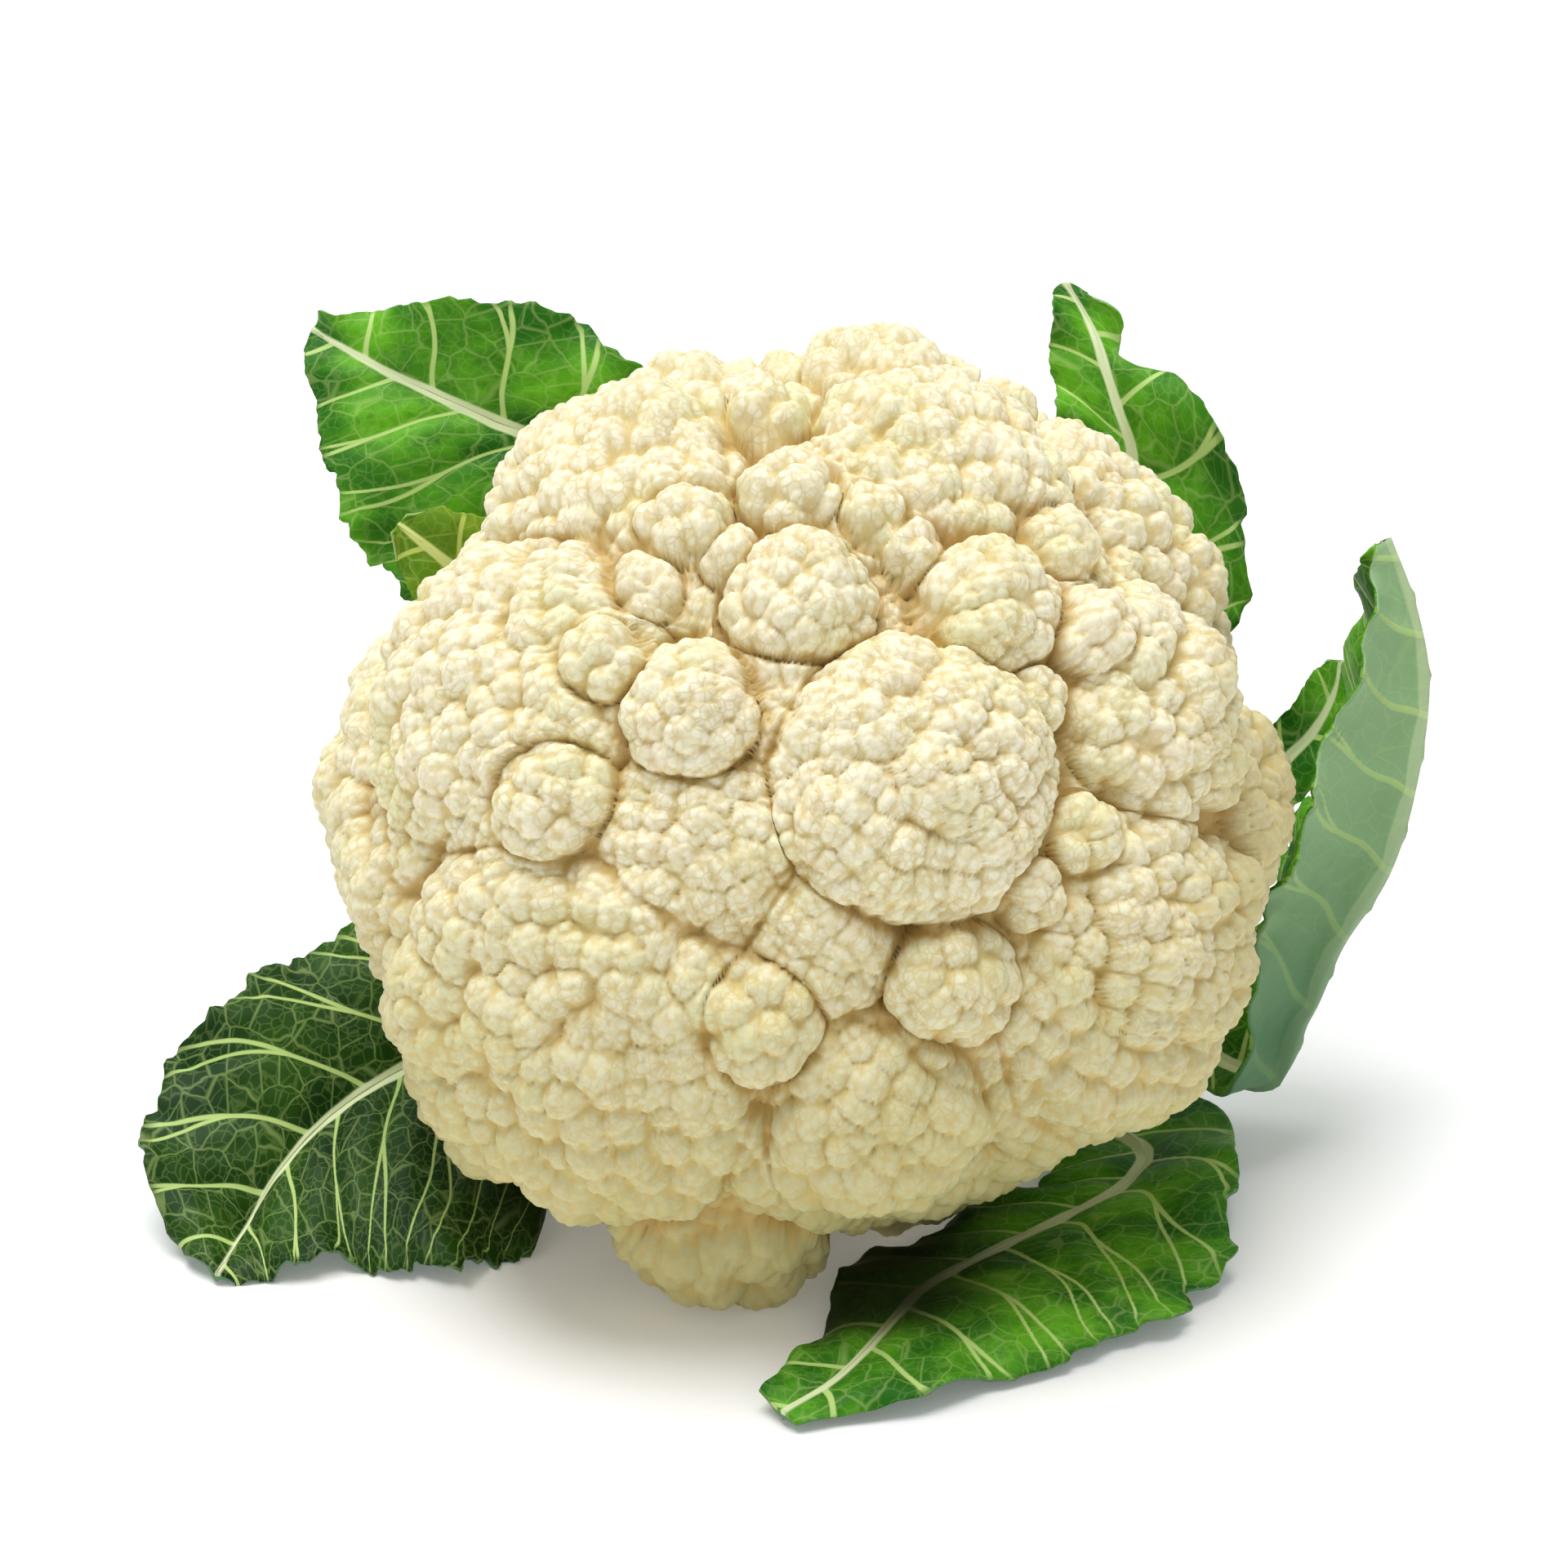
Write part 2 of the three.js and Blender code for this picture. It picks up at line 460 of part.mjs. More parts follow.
const LEAVES = {
  leaf_upper_left: {
    colour: LEAF_GREEN, angle: 120, spread: 18,
    arch: 0.06, wave: 2.2, waves: 3.4, scallop: 0.03, scallops: 6,
    stations: [
      [seen(-46, 38, 61), seen(-32, 43, 62), seen(-18, 54, 58)],
      [seen(-70, 40, 50), seen(-46, 67, 52), seen(-28, 80, 48)],
      [seen(-81, 48.5, 49), seen(-58, 73.5, 50), seen(-42, 91.5, 47)],
      [seen(-87, 61, 50), seen(-69, 78.5, 51), seen(-58, 96, 48)],
      [seen(-90, 72.5, 52), seen(-79, 83.3, 53), seen(-73.5, 94.7, 51)],
      [seen(-91.3, 82, 56), seen(-86.5, 87.6, 56), seen(-84, 93, 55)],
      [seen(-91.8, 87.5, 59), seen(-91, 90.3, 59), seen(-88.5, 91.8, 59)],
    ],
  },
  leaf_small_left: {
    colour: YOUNG_GREEN, angle: 150, spread: 9,
    arch: 0.05, wave: 1.2, waves: 3, scallop: 0.06, scallops: 6,
    stations: [
      [seen(-48, 16, 49), seen(-43, 22, 51), seen(-38, 28, 50)],
      [seen(-62, 31, 41), seen(-56, 38, 42), seen(-48, 45, 41)],
      [seen(-71, 39.5, 36), seen(-65, 46, 36), seen(-58, 54, 35)],
      [seen(-75, 46, 34), seen(-71, 51, 34), seen(-66, 57, 34)],
      [seen(-76.5, 52.5, 34), seen(-75.5, 54.3, 34), seen(-73.5, 56, 34)],
    ],
  },
  leaf_upper_right: {
    colour: LEAF_GREEN, angle: 50, spread: 18,
    arch: 0.08, wave: 2.4, waves: 3.6, scallop: 0.03, scallops: 6,
    stations: [
      [seen(32, 44, 56), seen(42, 38, 58), seen(56, 22, 56)],
      [seen(44, 58, 48), seen(58, 52, 49), seen(80, 36, 45)],
      [seen(46.5, 70, 45), seen(61, 66.7, 45), seen(81, 58, 41)],
      [seen(46.5, 79, 44), seen(58, 75.8, 44), seen(74, 77, 41)],
      [seen(45.7, 87, 44), seen(54.5, 86.4, 45), seen(60.6, 83, 47)],
      [seen(45.6, 93.5, 47), seen(51.5, 93.2, 48), seen(57.5, 90.5, 50)],
      [seen(46.6, 98.3, 50), seen(48.5, 98.9, 50), seen(50.8, 97.8, 50)],
    ],
  },
  leaf_right: {
    colour: PALE_GREEN, angle: 343, spread: 12,
    arch: 0.08, wave: 1.6, waves: 4.2, scallop: 0.02, scallops: 7,
    stations: [
      [seen(54, -16, 56), seen(55, -30, 52), seen(57, -40, 48)],
      [seen(80, -24, 44), seen(83, -48, 29), seen(79, -52.5, 23)],
      [seen(88, -12, 46), seen(92, -37, 24), seen(82, -40, 12)],
      [seen(94, 0, 46), seen(98, -24, 22), seen(85.5, -24, 8)],
      [seen(99, 12, 45), seen(107, -10, 21), seen(88.5, -11, 6)],
      [seen(102, 24, 42), seen(112, 6, 20), seen(94, 4, 5)],
      [seen(103, 36, 36), seen(114.5, 24, 19), seen(101.5, 20, 7)],
      [seen(103.5, 45, 28), seen(112.5, 38, 18), seen(105, 36, 11)],
      [seen(106.6, 50.5, 20), seen(107.8, 51.5, 18), seen(107.6, 50, 16)],
    ],
  },
  leaf_small_right: {
    colour: LEAF_GREEN, angle: 10, spread: 8,
    arch: 0.08, wave: 0.8, waves: 2.5, scallop: 0.03, scallops: 5,
    stations: [
      [seen(52, 8, 62), seen(55, 0, 63), seen(57, -8, 61)],
      [seen(78, 10, 60), seen(80, 4, 60), seen(84, -2, 58)],
      [seen(88, 18, 57), seen(92, 13, 57), seen(97, 8, 55)],
      [seen(94, 26, 55), seen(98, 22, 55), seen(103, 17, 54)],
      [seen(97, 29.3, 54), seen(99.5, 29, 54), seen(102.5, 27, 53)],
    ],
  },
  leaf_lower_right: {
    colour: LEAF_GREEN, angle: 308, spread: 18,
    arch: 0.06, wave: 1.4, waves: 4.5, scallop: 0.04, scallops: 8,
    stations: [
      [seen(50, -48, 56), seen(41, -56, 51), seen(31, -60, 45)],
      [seen(77, -55, 41), seen(62, -62, 35), seen(44, -64, 30)],
      [laid(80, -65, 8), laid(60, -69, 4.5), laid(44, -68.5, 1.4)],
      [laid(79, -77, 6), laid(48, -75.5, 3.6), laid(35, -73, 1.1)],
      [laid(73, -90, 3.5), laid(34, -82, 4.2), laid(21, -78.5, 1.1)],
      [laid(60, -97, 2), laid(22, -88.5, 5.5), laid(8, -85, 2.4)],
      [laid(43, -102, 3), laid(14, -97, 5), laid(5, -93, 3)],
      [laid(22, -108.5, 2), laid(6, -105, 4), laid(-1.5, -101.5, 3)],
      [laid(-1.5, -113, 1.5), laid(-4, -111, 2.5), laid(-8, -108.3, 2)],
    ],
  },
  leaf_lower_left: {
    colour: LEAF_GREEN, angle: 205, spread: 18,
    arch: 0.06, wave: 2.4, waves: 3.6, scallop: 0.03, scallops: 6,
    stations: [
      [seen(-46, -56, 38), seen(-52, -36, 46), seen(-62, -14, 46)],
      [laid(-51, -79, 2), seen(-68, -44, 33), seen(-82, -20, 38)],
      [laid(-61, -83.5, 1.4), seen(-79, -50, 26), seen(-96, -27, 32)],
      [laid(-73, -85, 1.2), seen(-88.6, -56.8, 20), seen(-108, -35, 25)],
      [laid(-84, -82, 3), seen(-97, -66, 13), seen(-118.5, -48, 17)],
      [laid(-95, -85, 1.2), seen(-103, -76, 7), seen(-123, -63, 9)],
      [laid(-105, -86, 1.2), laid(-109, -85.3, 2), seen(-115.5, -80, 1)],
    ],
  },
};

const CUT_BASES = {
  cut_base_top: { angle: 84, spread: 13, reach: 22, stand: 9 },
  cut_base_left: { angle: 172, spread: 10, reach: 16, stand: 6 },
  cut_base_lower_left: { angle: 240, spread: 12, reach: 12, stand: 4 },
  cut_base_bottom: { angle: 272, spread: 14, reach: 14, stand: 3 },
};

function piece(name, geometry, colour, roughness) {
  const material = new THREE.MeshStandardMaterial({ color: colour, roughness, metalness: 0 });
  const mesh = new THREE.Mesh(geometry, material);
  mesh.name = name;
  return mesh;
}

const cauliflower = new THREE.Group();

cauliflower.add(piece('curd', curdGeometry(), CREAM, 0.7));

const stump = piece('stump', stumpGeometry(), STUMP_GREEN, 0.6);
stump.position.copy(headPoint(NECK_LEVEL - GAP, 0, 0));
stump.quaternion.setFromUnitVectors(new THREE.Vector3(0, 1, 0), axis);
cauliflower.add(stump);

for (const [name, leaf] of Object.entries(LEAVES)) {
  cauliflower.add(piece(name, spreadLeaf(leaf), leaf.colour, 0.5));
}
for (const [name, base] of Object.entries(CUT_BASES)) {
  cauliflower.add(piece(name, cutBase(base), STUMP_GREEN, 0.6));
}

export default cauliflower;
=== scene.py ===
"""A head of cauliflower lying on its side on a pale floor, in the frame of its CAD part.

Lengths are in millimetres until a mesh is made, and Blender's are metres.
"""
import math

import bpy
import numpy as np
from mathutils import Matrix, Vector


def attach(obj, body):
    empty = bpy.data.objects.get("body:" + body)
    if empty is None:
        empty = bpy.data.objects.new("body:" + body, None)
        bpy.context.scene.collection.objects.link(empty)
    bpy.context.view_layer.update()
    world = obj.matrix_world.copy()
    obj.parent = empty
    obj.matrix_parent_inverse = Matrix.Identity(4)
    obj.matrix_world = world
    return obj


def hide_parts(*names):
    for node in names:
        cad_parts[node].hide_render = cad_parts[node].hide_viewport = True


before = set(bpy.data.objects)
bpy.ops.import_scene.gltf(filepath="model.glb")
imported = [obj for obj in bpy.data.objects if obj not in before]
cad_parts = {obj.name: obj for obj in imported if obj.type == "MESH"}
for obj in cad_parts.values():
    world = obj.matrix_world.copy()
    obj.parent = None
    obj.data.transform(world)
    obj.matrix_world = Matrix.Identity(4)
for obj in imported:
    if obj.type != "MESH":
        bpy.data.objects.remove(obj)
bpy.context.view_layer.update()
MM = 0.001


# Camera
# It looks down on the head from the front, from where the florets and the leaves are placed.
HEAD_CENTRE = np.array([15.5, 47.5, 75.0])
FRONT_ELEVATION = math.radians(25)
FRONT_DISTANCE = 1000.0
PHOTO_SIDE = 1920
PHOTO_SCALE = 6.6            # photograph pixels per millimetre at the head's centre
HEAD_PIXEL = (985, 1000)     # where the head's centre falls in the photograph
SENSOR = 36.0

sight = np.array([0, math.cos(FRONT_ELEVATION), -math.sin(FRONT_ELEVATION)])
front_up = np.array([0, math.sin(FRONT_ELEVATION), math.cos(FRONT_ELEVATION)])
eye = HEAD_CENTRE - FRONT_DISTANCE * sight

camera_data = bpy.data.cameras.new("camera")
camera_data.sensor_width = SENSOR
camera_data.lens = SENSOR * FRONT_DISTANCE * PHOTO_SCALE / PHOTO_SIDE
camera_data.shift_x = (PHOTO_SIDE / 2 - HEAD_PIXEL[0]) / PHOTO_SIDE
camera_data.shift_y = (HEAD_PIXEL[1] - PHOTO_SIDE / 2) / PHOTO_SIDE
camera_data.clip_start, camera_data.clip_end = 0.05, 100
camera = bpy.data.objects.new("camera", camera_data)
camera.location = eye * MM
camera.rotation_euler = (math.pi / 2 - FRONT_ELEVATION, 0, 0)
bpy.context.collection.objects.link(camera)
bpy.context.scene.camera = camera


# Floor and light
# A large near-white floor, a bright soft surrounding and one broad soft light from above.
class Wire:
    """A shader socket that can be used in arithmetic; node() makes any other node."""

    def __init__(self, tree, socket):
        self.tree = tree
        self.socket = socket

    def plug(self, slot, value):
        if isinstance(value, Wire):
            self.tree.links.new(value.socket, slot)
        elif value is not None:
            slot.default_value = value

    def maths(self, operation, *values):
        made = self.tree.nodes.new("ShaderNodeMath")
        made.operation = operation
        for slot, value in zip(made.inputs, values):
            self.plug(slot, value)
        return Wire(self.tree, made.outputs[0])

    def node(self, kind, output=0, settings=None, **inputs):
        made = self.tree.nodes.new(kind)
        for name, value in (settings or {}).items():
            setattr(made, name, value)
        for name, value in inputs.items():
            key = int(name[1:]) if name[0] == "i" and name[1:].isdigit() else name.replace("_", " ")
            self.plug(made.inputs[key], value)
        return Wire(self.tree, made.outputs[output])

    def __add__(self, other):
        return self.maths("ADD", self, other)

    def __radd__(self, other):
        return self.maths("ADD", other, self)

    def __sub__(self, other):
        return self.maths("SUBTRACT", self, other)

    def __rsub__(self, other):
        return self.maths("SUBTRACT", other, self)

    def __mul__(self, other):
        return self.maths("MULTIPLY", self, other)

    def __rmul__(self, other):
        return self.maths("MULTIPLY", other, self)

    def __truediv__(self, other):
        return self.maths("DIVIDE", self, other)

    def step(self, low, high):
        """0 up to low, 1 from high and a smooth change between; high may be the lower one."""
        return self.node(
            "ShaderNodeMapRange", 0, {"interpolation_type": "SMOOTHSTEP"},
            i0=self, i1=low, i2=high, i3=0.0, i4=1.0,
        )

    def mix(self, before, after):
        """The colour before where this is 0 and after where it is 1."""
        return self.node(
            "ShaderNodeMix", 2, {"data_type": "RGBA"}, i0=self, i6=before, i7=after,
        )


def new_material(name, roughness, **constants):
    """A material with a Principled surface, as its material, a Wire to start from and the surface."""
    made = bpy.data.materials.new(name)
    made.use_nodes = True
    tree = made.node_tree
    surface = tree.nodes["Principled BSDF"]
    surface.inputs["Roughness"].default_value = roughness
    for key, value in constants.items():
        surface.inputs[key.replace("_", " ")].default_value = value
    return made, Wire(tree, None), surface


def colour(red, green, blue):
    """A colour given as it looks on a screen, 0 to 255, as the shader's linear one."""
    share = np.array([red, green, blue]) / 255
    linear = np.where(share <= 0.04045, share / 12.92, ((share + 0.055) / 1.055) ** 2.4)
    return (*linear.tolist(), 1.0)


FLOOR_HALF = 12.0
floor_mesh = bpy.data.meshes.new("floor")
floor_mesh.from_pydata(
    [(x * FLOOR_HALF, y * FLOOR_HALF, 0) for x, y in ((-1, -1), (1, -1), (1, 1), (-1, 1))],
    [], [(0, 1, 2, 3)],
)
floor = bpy.data.objects.new("floor", floor_mesh)
bpy.context.collection.objects.link(floor)
floor_material, start, surface = new_material(
    "floor", 0.6, Emission_Color=(1, 1, 1, 1), Emission_Strength=0.12,
)
surface.inputs["Base Color"].default_value = (0.9, 0.9, 0.905, 1)
floor_mesh.materials.append(floor_material)

world = bpy.data.worlds.new("studio")
world.use_nodes = True
world.node_tree.nodes["Background"].inputs["Color"].default_value = (1, 1, 1, 1)
world.node_tree.nodes["Background"].inputs["Strength"].default_value = 0.45
bpy.context.scene.world = world
bpy.context.scene.view_settings.view_transform = "Standard"

lamp = bpy.data.lights.new("key light", "SUN")
lamp.energy = 2.8
lamp.angle = math.radians(45)
light = bpy.data.objects.new("key light", lamp)
light.location = (-0.3, 0.3, 1.5)
light.rotation_euler = Vector((0.15, -0.1, -1)).to_track_quat("-Z", "Y").to_euler()
bpy.context.collection.objects.link(light)


# Curd
# One grown body, as a distance over directions from the head's centre: broad masses, florets that
# stand out between them, low lobes, then buds and the granules on each bud. It is cut into closed
# wedges that meet at the centre.
AXIS_RISE = math.radians(38)
AXIS_TURN = math.radians(5)
CURD_RADIUS = 80.0
DOME_DEPTH = 56.0
UNDERSIDE_DEPTH = 42.0
CREVICE_FLOOR = 0.93
NECK_LEVEL = -39.0
LOBE_COUNT = 300             # low lobes of the masses
LOBE_JITTER = 0.045
LOBE_SIZES = (8.5, 12)
LOBE_RISE = 0.17
LOBE_LEVEL = 5.0             # height of a lobe's cap that leaves the surface where it was
LOBE_CREASE = 0.3
BUD_COUNT = 2100
BUD_PITCH = 7.0
BUD_JITTER = 0.012
FOREIGN_BUD = 3.0            # height that a bud loses on a floret that is not its own
BUD_LEAN = 0.02              # step over which the surface under a bud is measured, in radians
BUD_RISE = 0.5
BUD_DROP = 0.24              # by which a bud is sunk, over its radius
GRANULE_PITCH = 2.35
GRANULE_RISE = 0.36
REAR_FLORET_RADIUS = 13.5
REAR_FLORET_RISE = 8.0
REAR_FLORET_SPREAD = 3.0
REAR_LATTICE = 120
REAR_FROM = math.radians(93)
CURD_EDGE = math.radians(124)
BRANCH_COUNT = 11
BRANCH_RISE = 0.035
FLOOR_LIFT = 0.1             # by which the body between the florets is fuller than the solid's
MASS_SPREAD = 1.12           # where a mass meets the body, over its radius
MASS_BLEND = 0.7             # over which one mass runs into the next
FLORET_BLEND = 0.9           # over which a floret that stands out runs into what is round it
CREASE_DEPTH = 0.9           # narrow furrows between the florets
CREASE_WIDTH = 0.9
CURD_GRID = 540              # cells along each side of the square that wraps the curd
CURD_WRAP = 118              # degrees off the axis that the square reaches at an even pace
CURD_WRAP_TAIL = 60          # further degrees, gained quickly towards its rim
CURD_BANDS = 4
GOLDEN_ANGLE = math.pi * (3 - math.sqrt(5))
UP = np.array([0.0, 0.0, 1.0])

# Right, up, radius and rise of what the front shows, from the head's centre: broad masses, florets
# that stand out from them, and the fill of the hollows between them.
MASSES = [
    (-45, -40, 35, 15), (-53, 22, 28, 14), (-81, 6, 20, 9), (-34, 62, 22, 13), (17, 87, 17, 13),
    (25, 63, 22, 13), (60, 60, 22, 11), (62, 20, 20, 14), (59, -30, 28, 14), (-16, -79, 18, 12),
    (84, 2, 18, 11), (-23, 81, 17, 9), (19, 6, 22, 17), (12.5, -53, 18, 13.5), (46, -50, 14, 6),
    (-70, -63, 13, 10), (-75, -14, 15, 9),
]
FLORETS = [
    (-20.5, 18, 13, 15), (-44.5, 3, 13, 14.5), (-1.3, 37.5, 14, 14), (32.5, 36, 14.5, 14),
    (-2.2, 57, 9.5, 12), (26.5, -30, 12, 13.5), (-9, -37, 13, 12),
    (-13.5, 46, 7, 9), (-22, 51, 9, 12), (-29, 40, 9, 10), (12, 53, 7.5, 10), (20, 47, 7, 9),
    (41, 21, 7, 9.5), (50, -5, 8, 10.5), (44, 47, 10, 11), (40, -14, 8, 10.5), (14.5, 70, 8, 12),
    (-7, 71, 9, 10), (-37, 27, 9, 14), (52, 32, 9, 13),
    (73, -14, 11, 10), (70, 44, 11, 11), (36, 76, 11, 10),
]
RECESSES = [
    (-22, -5, 19, 9), (4, -22, 13, 7), (-4, 20, 12, 7), (-66, -8, 12, 7), (6, 54, 16, 7),
    (42, 40, 16, 7), (38, -10, 14, 7), (28, -46, 14, 6), (-26, 44, 14, 7), (-10, -56, 14, 6),
]

axis = np.array([
    math.sin(AXIS_TURN) * math.cos(AXIS_RISE),
    -math.cos(AXIS_TURN) * math.cos(AXIS_RISE),
    math.sin(AXIS_RISE),
])
across = np.cross(UP, axis)
across = across / np.linalg.norm(across)
uphill = np.cross(axis, across)


def unit(vectors):
    """Vectors of length one: v / |v|."""
    return vectors / (np.linalg.norm(vectors, axis=-1, keepdims=True) + 1e-12)


def smooth(value, low, high):
    """3s² − 2s³ with s = (value − low) / (high − low), held between 0 and 1."""
    share = np.clip((value - low) / (high - low), 0, 1)
    return share * share * (3 - 2 * share)


def ripple(places, length, seed):
    """Sum of six sine waves of about this wavelength in seeded directions, between about −1 and 1."""
    draw = np.random.default_rng(seed)
    heading = unit(draw.normal(size=(6, 3)))
    pace = 2 * math.pi / (length * draw.uniform(0.7, 1.4, 6))
    phase = draw.uniform(0, 2 * math.pi, 6)
    return np.sin(places @ (heading * pace[:, None]).T + phase).sum(axis=-1) / 3


def line_of_sight(right, up):
    """Direction through a place that the front shows, one long per unit of depth."""
    return sight + np.array([1.0, 0, 0]) * right / FRONT_DISTANCE + front_up * up / FRONT_DISTANCE


def seen(right, up, behind):
    """The point shown at right and up, at a depth behind the head's centre."""
    return eye + line_of_sight(right, up) * (FRONT_DISTANCE + behind)


def laid(right, up, height):
    """The point shown at right and up, at a height over the floor."""
    line = line_of_sight(right, up)
    return eye + line * (height - eye[2]) / line[2]


def head_point(level, distance, angle):
    """A point by its level along the axis, its distance from it and its angle round it."""
    ring = across * math.cos(angle) + uphill * math.sin(angle)
    return HEAD_CENTRE + axis * level + ring * distance


def on_body(right, up, growth):
    """Near crossing of the line of sight with the body's spheroid, grown: x² + y² + z² = 1."""
    line = line_of_sight(right, up)
    base = np.array([axis, across, uphill])

    def hit(depth):
        size = np.array([depth + growth, CURD_RADIUS + growth, CURD_RADIUS + growth])
        start_at = base @ (eye - HEAD_CENTRE) / size
        along = base @ line / size
        a, b = along @ along, start_at @ along
        inside = b * b - a * (start_at @ start_at - 1)
        place = unit(start_at + along * (-b - math.sqrt(max(inside, 0))) / a)
        return (place * size) @ base

    near = hit(DOME_DEPTH)
    return near if near @ axis >= 0 else hit(UNDERSIDE_DEPTH)


def body_reach(directions):
    """Distance to the smooth body: 1 / sqrt((1 − l²) / R² + (l / D)²), l the cosine off the axis."""
    level = directions @ axis
    depth = np.where(level >= 0, DOME_DEPTH, UNDERSIDE_DEPTH)
    return 1 / np.sqrt((1 - level ** 2) / CURD_RADIUS ** 2 + (level / depth) ** 2)


florets = [
    (on_body(right, up, rise - radius), radius)
    for right, up, radius, rise in FLORETS + MASSES
]
for k in range(REAR_LATTICE):
    level = 1 - (2 * k + 1) / REAR_LATTICE
    turn = k * GOLDEN_ANGLE
    ring = across * math.cos(turn) + uphill * math.sin(turn)
    direction = axis * level + ring * math.sqrt(1 - level ** 2)
    radius = REAR_FLORET_RADIUS + REAR_FLORET_SPREAD * math.sin(k)
    centre = direction * (body_reach(direction) + REAR_FLORET_RISE - radius)
    clear = all(np.linalg.norm(other[0] - centre) > 0.75 * radius for other in florets)
    turned = math.acos(-direction @ sight)
    if turned > REAR_FROM and math.acos(direction @ axis) < CURD_EDGE and clear:
        florets.append((centre, radius))


def floret_reach(floret, directions, growth):
    """Far crossing of rays from the centre with a floret's ball: m + sqrt(m² − |c|² + r²)."""
    centre, radius = floret
    middle = directions @ centre
    spare = middle ** 2 - centre @ centre + (radius + growth) ** 2
    return np.where(spare < 0, 0, middle + np.sqrt(np.maximum(spare, 0)))


def stalk_reach(directions):
    """The body between the florets, with ribs 1 + rise · cos(count · turn) under them."""
    turn = np.arctan2(directions @ uphill, directions @ across)
    off = np.arccos(np.clip(directions @ axis, -1, 1))
    share = smooth(off, CURD_EDGE - 0.2, CURD_EDGE + 0.2)
    rib = 1 + BRANCH_RISE * share * np.cos(BRANCH_COUNT * turn)
    return body_reach(directions) * (CREVICE_FLOOR + (1 - CREVICE_FLOOR) * share) * rib


def blurred(field, half):
    """Mean of a square field over windows of 2 · half + 1 cells, by running sums."""
    for _ in range(2):
        wide = np.pad(field, ((half + 1, half), (0, 0)), mode="edge")
        total = np.cumsum(wide, axis=0)
        field = ((total[2 * half + 1:] - total[:-2 * half - 1]) / (2 * half + 1)).T
    return field


def curd_reach(directions):
    """Distance from the centre to the curd without its buds: w · log Σ exp(mass / w) for masses on
    the body, and florets that stand out of them. Also the number of the floret that stands out or
    −1, how far down in a crease each direction is and whether it is on such a floret, 0 to 1."""
    first = stalk_reach(directions)
    second = np.zeros(len(directions))
    winner = np.full(len(directions), -1)
    for k, floret in enumerate(florets):
        own = floret_reach(floret, directions, 0)
        better = own > first
        second = np.where(better, first, np.maximum(second, own))
        first = np.where(better, own, first)
        winner[better] = k
    reach = body_reach(directions)
    upper = smooth(directions @ axis, -0.15, 0.3)
    between = stalk_reach(directions) * (1 + FLOOR_LIFT * upper)
    total = np.exp(between / MASS_BLEND)
    largest, next_one = between, np.zeros(len(directions))
    for right, up, radius, rise in MASSES + RECESSES:
        spot = on_body(right, up, 0)
        out = np.linalg.norm(directions * reach[:, None] - spot, axis=1) / (MASS_SPREAD * radius)
        dome = reach + rise * np.sqrt(np.maximum(0, 1 - out ** 2)) - 50.0 * (out > 1)
        total += np.exp(dome / MASS_BLEND)
        next_one = np.maximum(next_one, np.minimum(largest, dome))
        largest = np.maximum(largest, dome)
    mass = MASS_BLEND * np.log(total)
    stands = (winner >= 0) & ((winner < len(FLORETS)) | (winner >= len(FLORETS) + len(MASSES)))
    ahead = np.where(stands, first - np.maximum(mass, second), 9.0)
    proud = np.where(stands, FLORET_BLEND * np.log1p(np.exp((first - mass) / FLORET_BLEND)), 0)
    outer = (proud > 0.7 * FLORET_BLEND).astype(float)
    between_masses = np.exp(-((largest - next_one) / CREASE_WIDTH) ** 2)
    crease = np.maximum(np.exp(-(ahead / CREASE_WIDTH) ** 2), (1 - outer) * between_masses)
    return mass + proud - CREASE_DEPTH * crease, np.where(outer > 0, winner, -1), crease, outer


def lattice(count, jitter, draw):
    """Directions spread evenly on a golden-angle spiral round the axis, each moved a little."""
    k = np.arange(count)
    level = 1 - (2 * k + 1) / count
    turned = k * GOLDEN_ANGLE
    ring = np.cos(turned)[:, None] * across + np.sin(turned)[:, None] * uphill
    heading = level[:, None] * axis + np.sqrt(1 - level ** 2)[:, None] * ring
    return unit(heading + draw.normal(size=(count, 3)) * jitter)


def highest_caps(places, spots, sizes, stands=None, florets_of_places=None, florets_of_spots=None):
    """Which cap, s − d² / s at a distance d, is the highest at each place, how high it is and by
    how much it leads. A cap counts for less on a floret that is not its own."""
    best = np.zeros(len(places), int)
    high = np.zeros(len(places))
    lead = np.zeros(len(places))
    for part in np.array_split(np.arange(len(places)), 48):
        apart = (places[part] ** 2).sum(1)[:, None] + (spots ** 2).sum(1) - 2 * places[part] @ spots.T
        caps = sizes - apart / sizes
        if stands is not None:
            foreign = florets_of_places[part][:, None] != florets_of_spots
            caps = caps - FOREIGN_BUD * foreign * stands[part][:, None]
        best[part] = caps.argmax(axis=1)
        high[part] = caps.max(axis=1)
        caps[np.arange(len(part)), best[part]] = -99
        lead[part] = high[part] - caps.max(axis=1)
    return best, high, lead


def grid_normals(grid):
    """Outward directions square to a grid of points: the sum of the four facets round each."""
    facets = np.cross(grid[1:, :-1] - grid[:-1, 1:], grid[1:, 1:] - grid[:-1, :-1])
    sums = np.zeros_like(grid)
    for down in (0, 1):
        for over in (0, 1):
            sums[down:len(grid) - 1 + down, over:len(grid) - 1 + over] += facets
    return unit(sums)


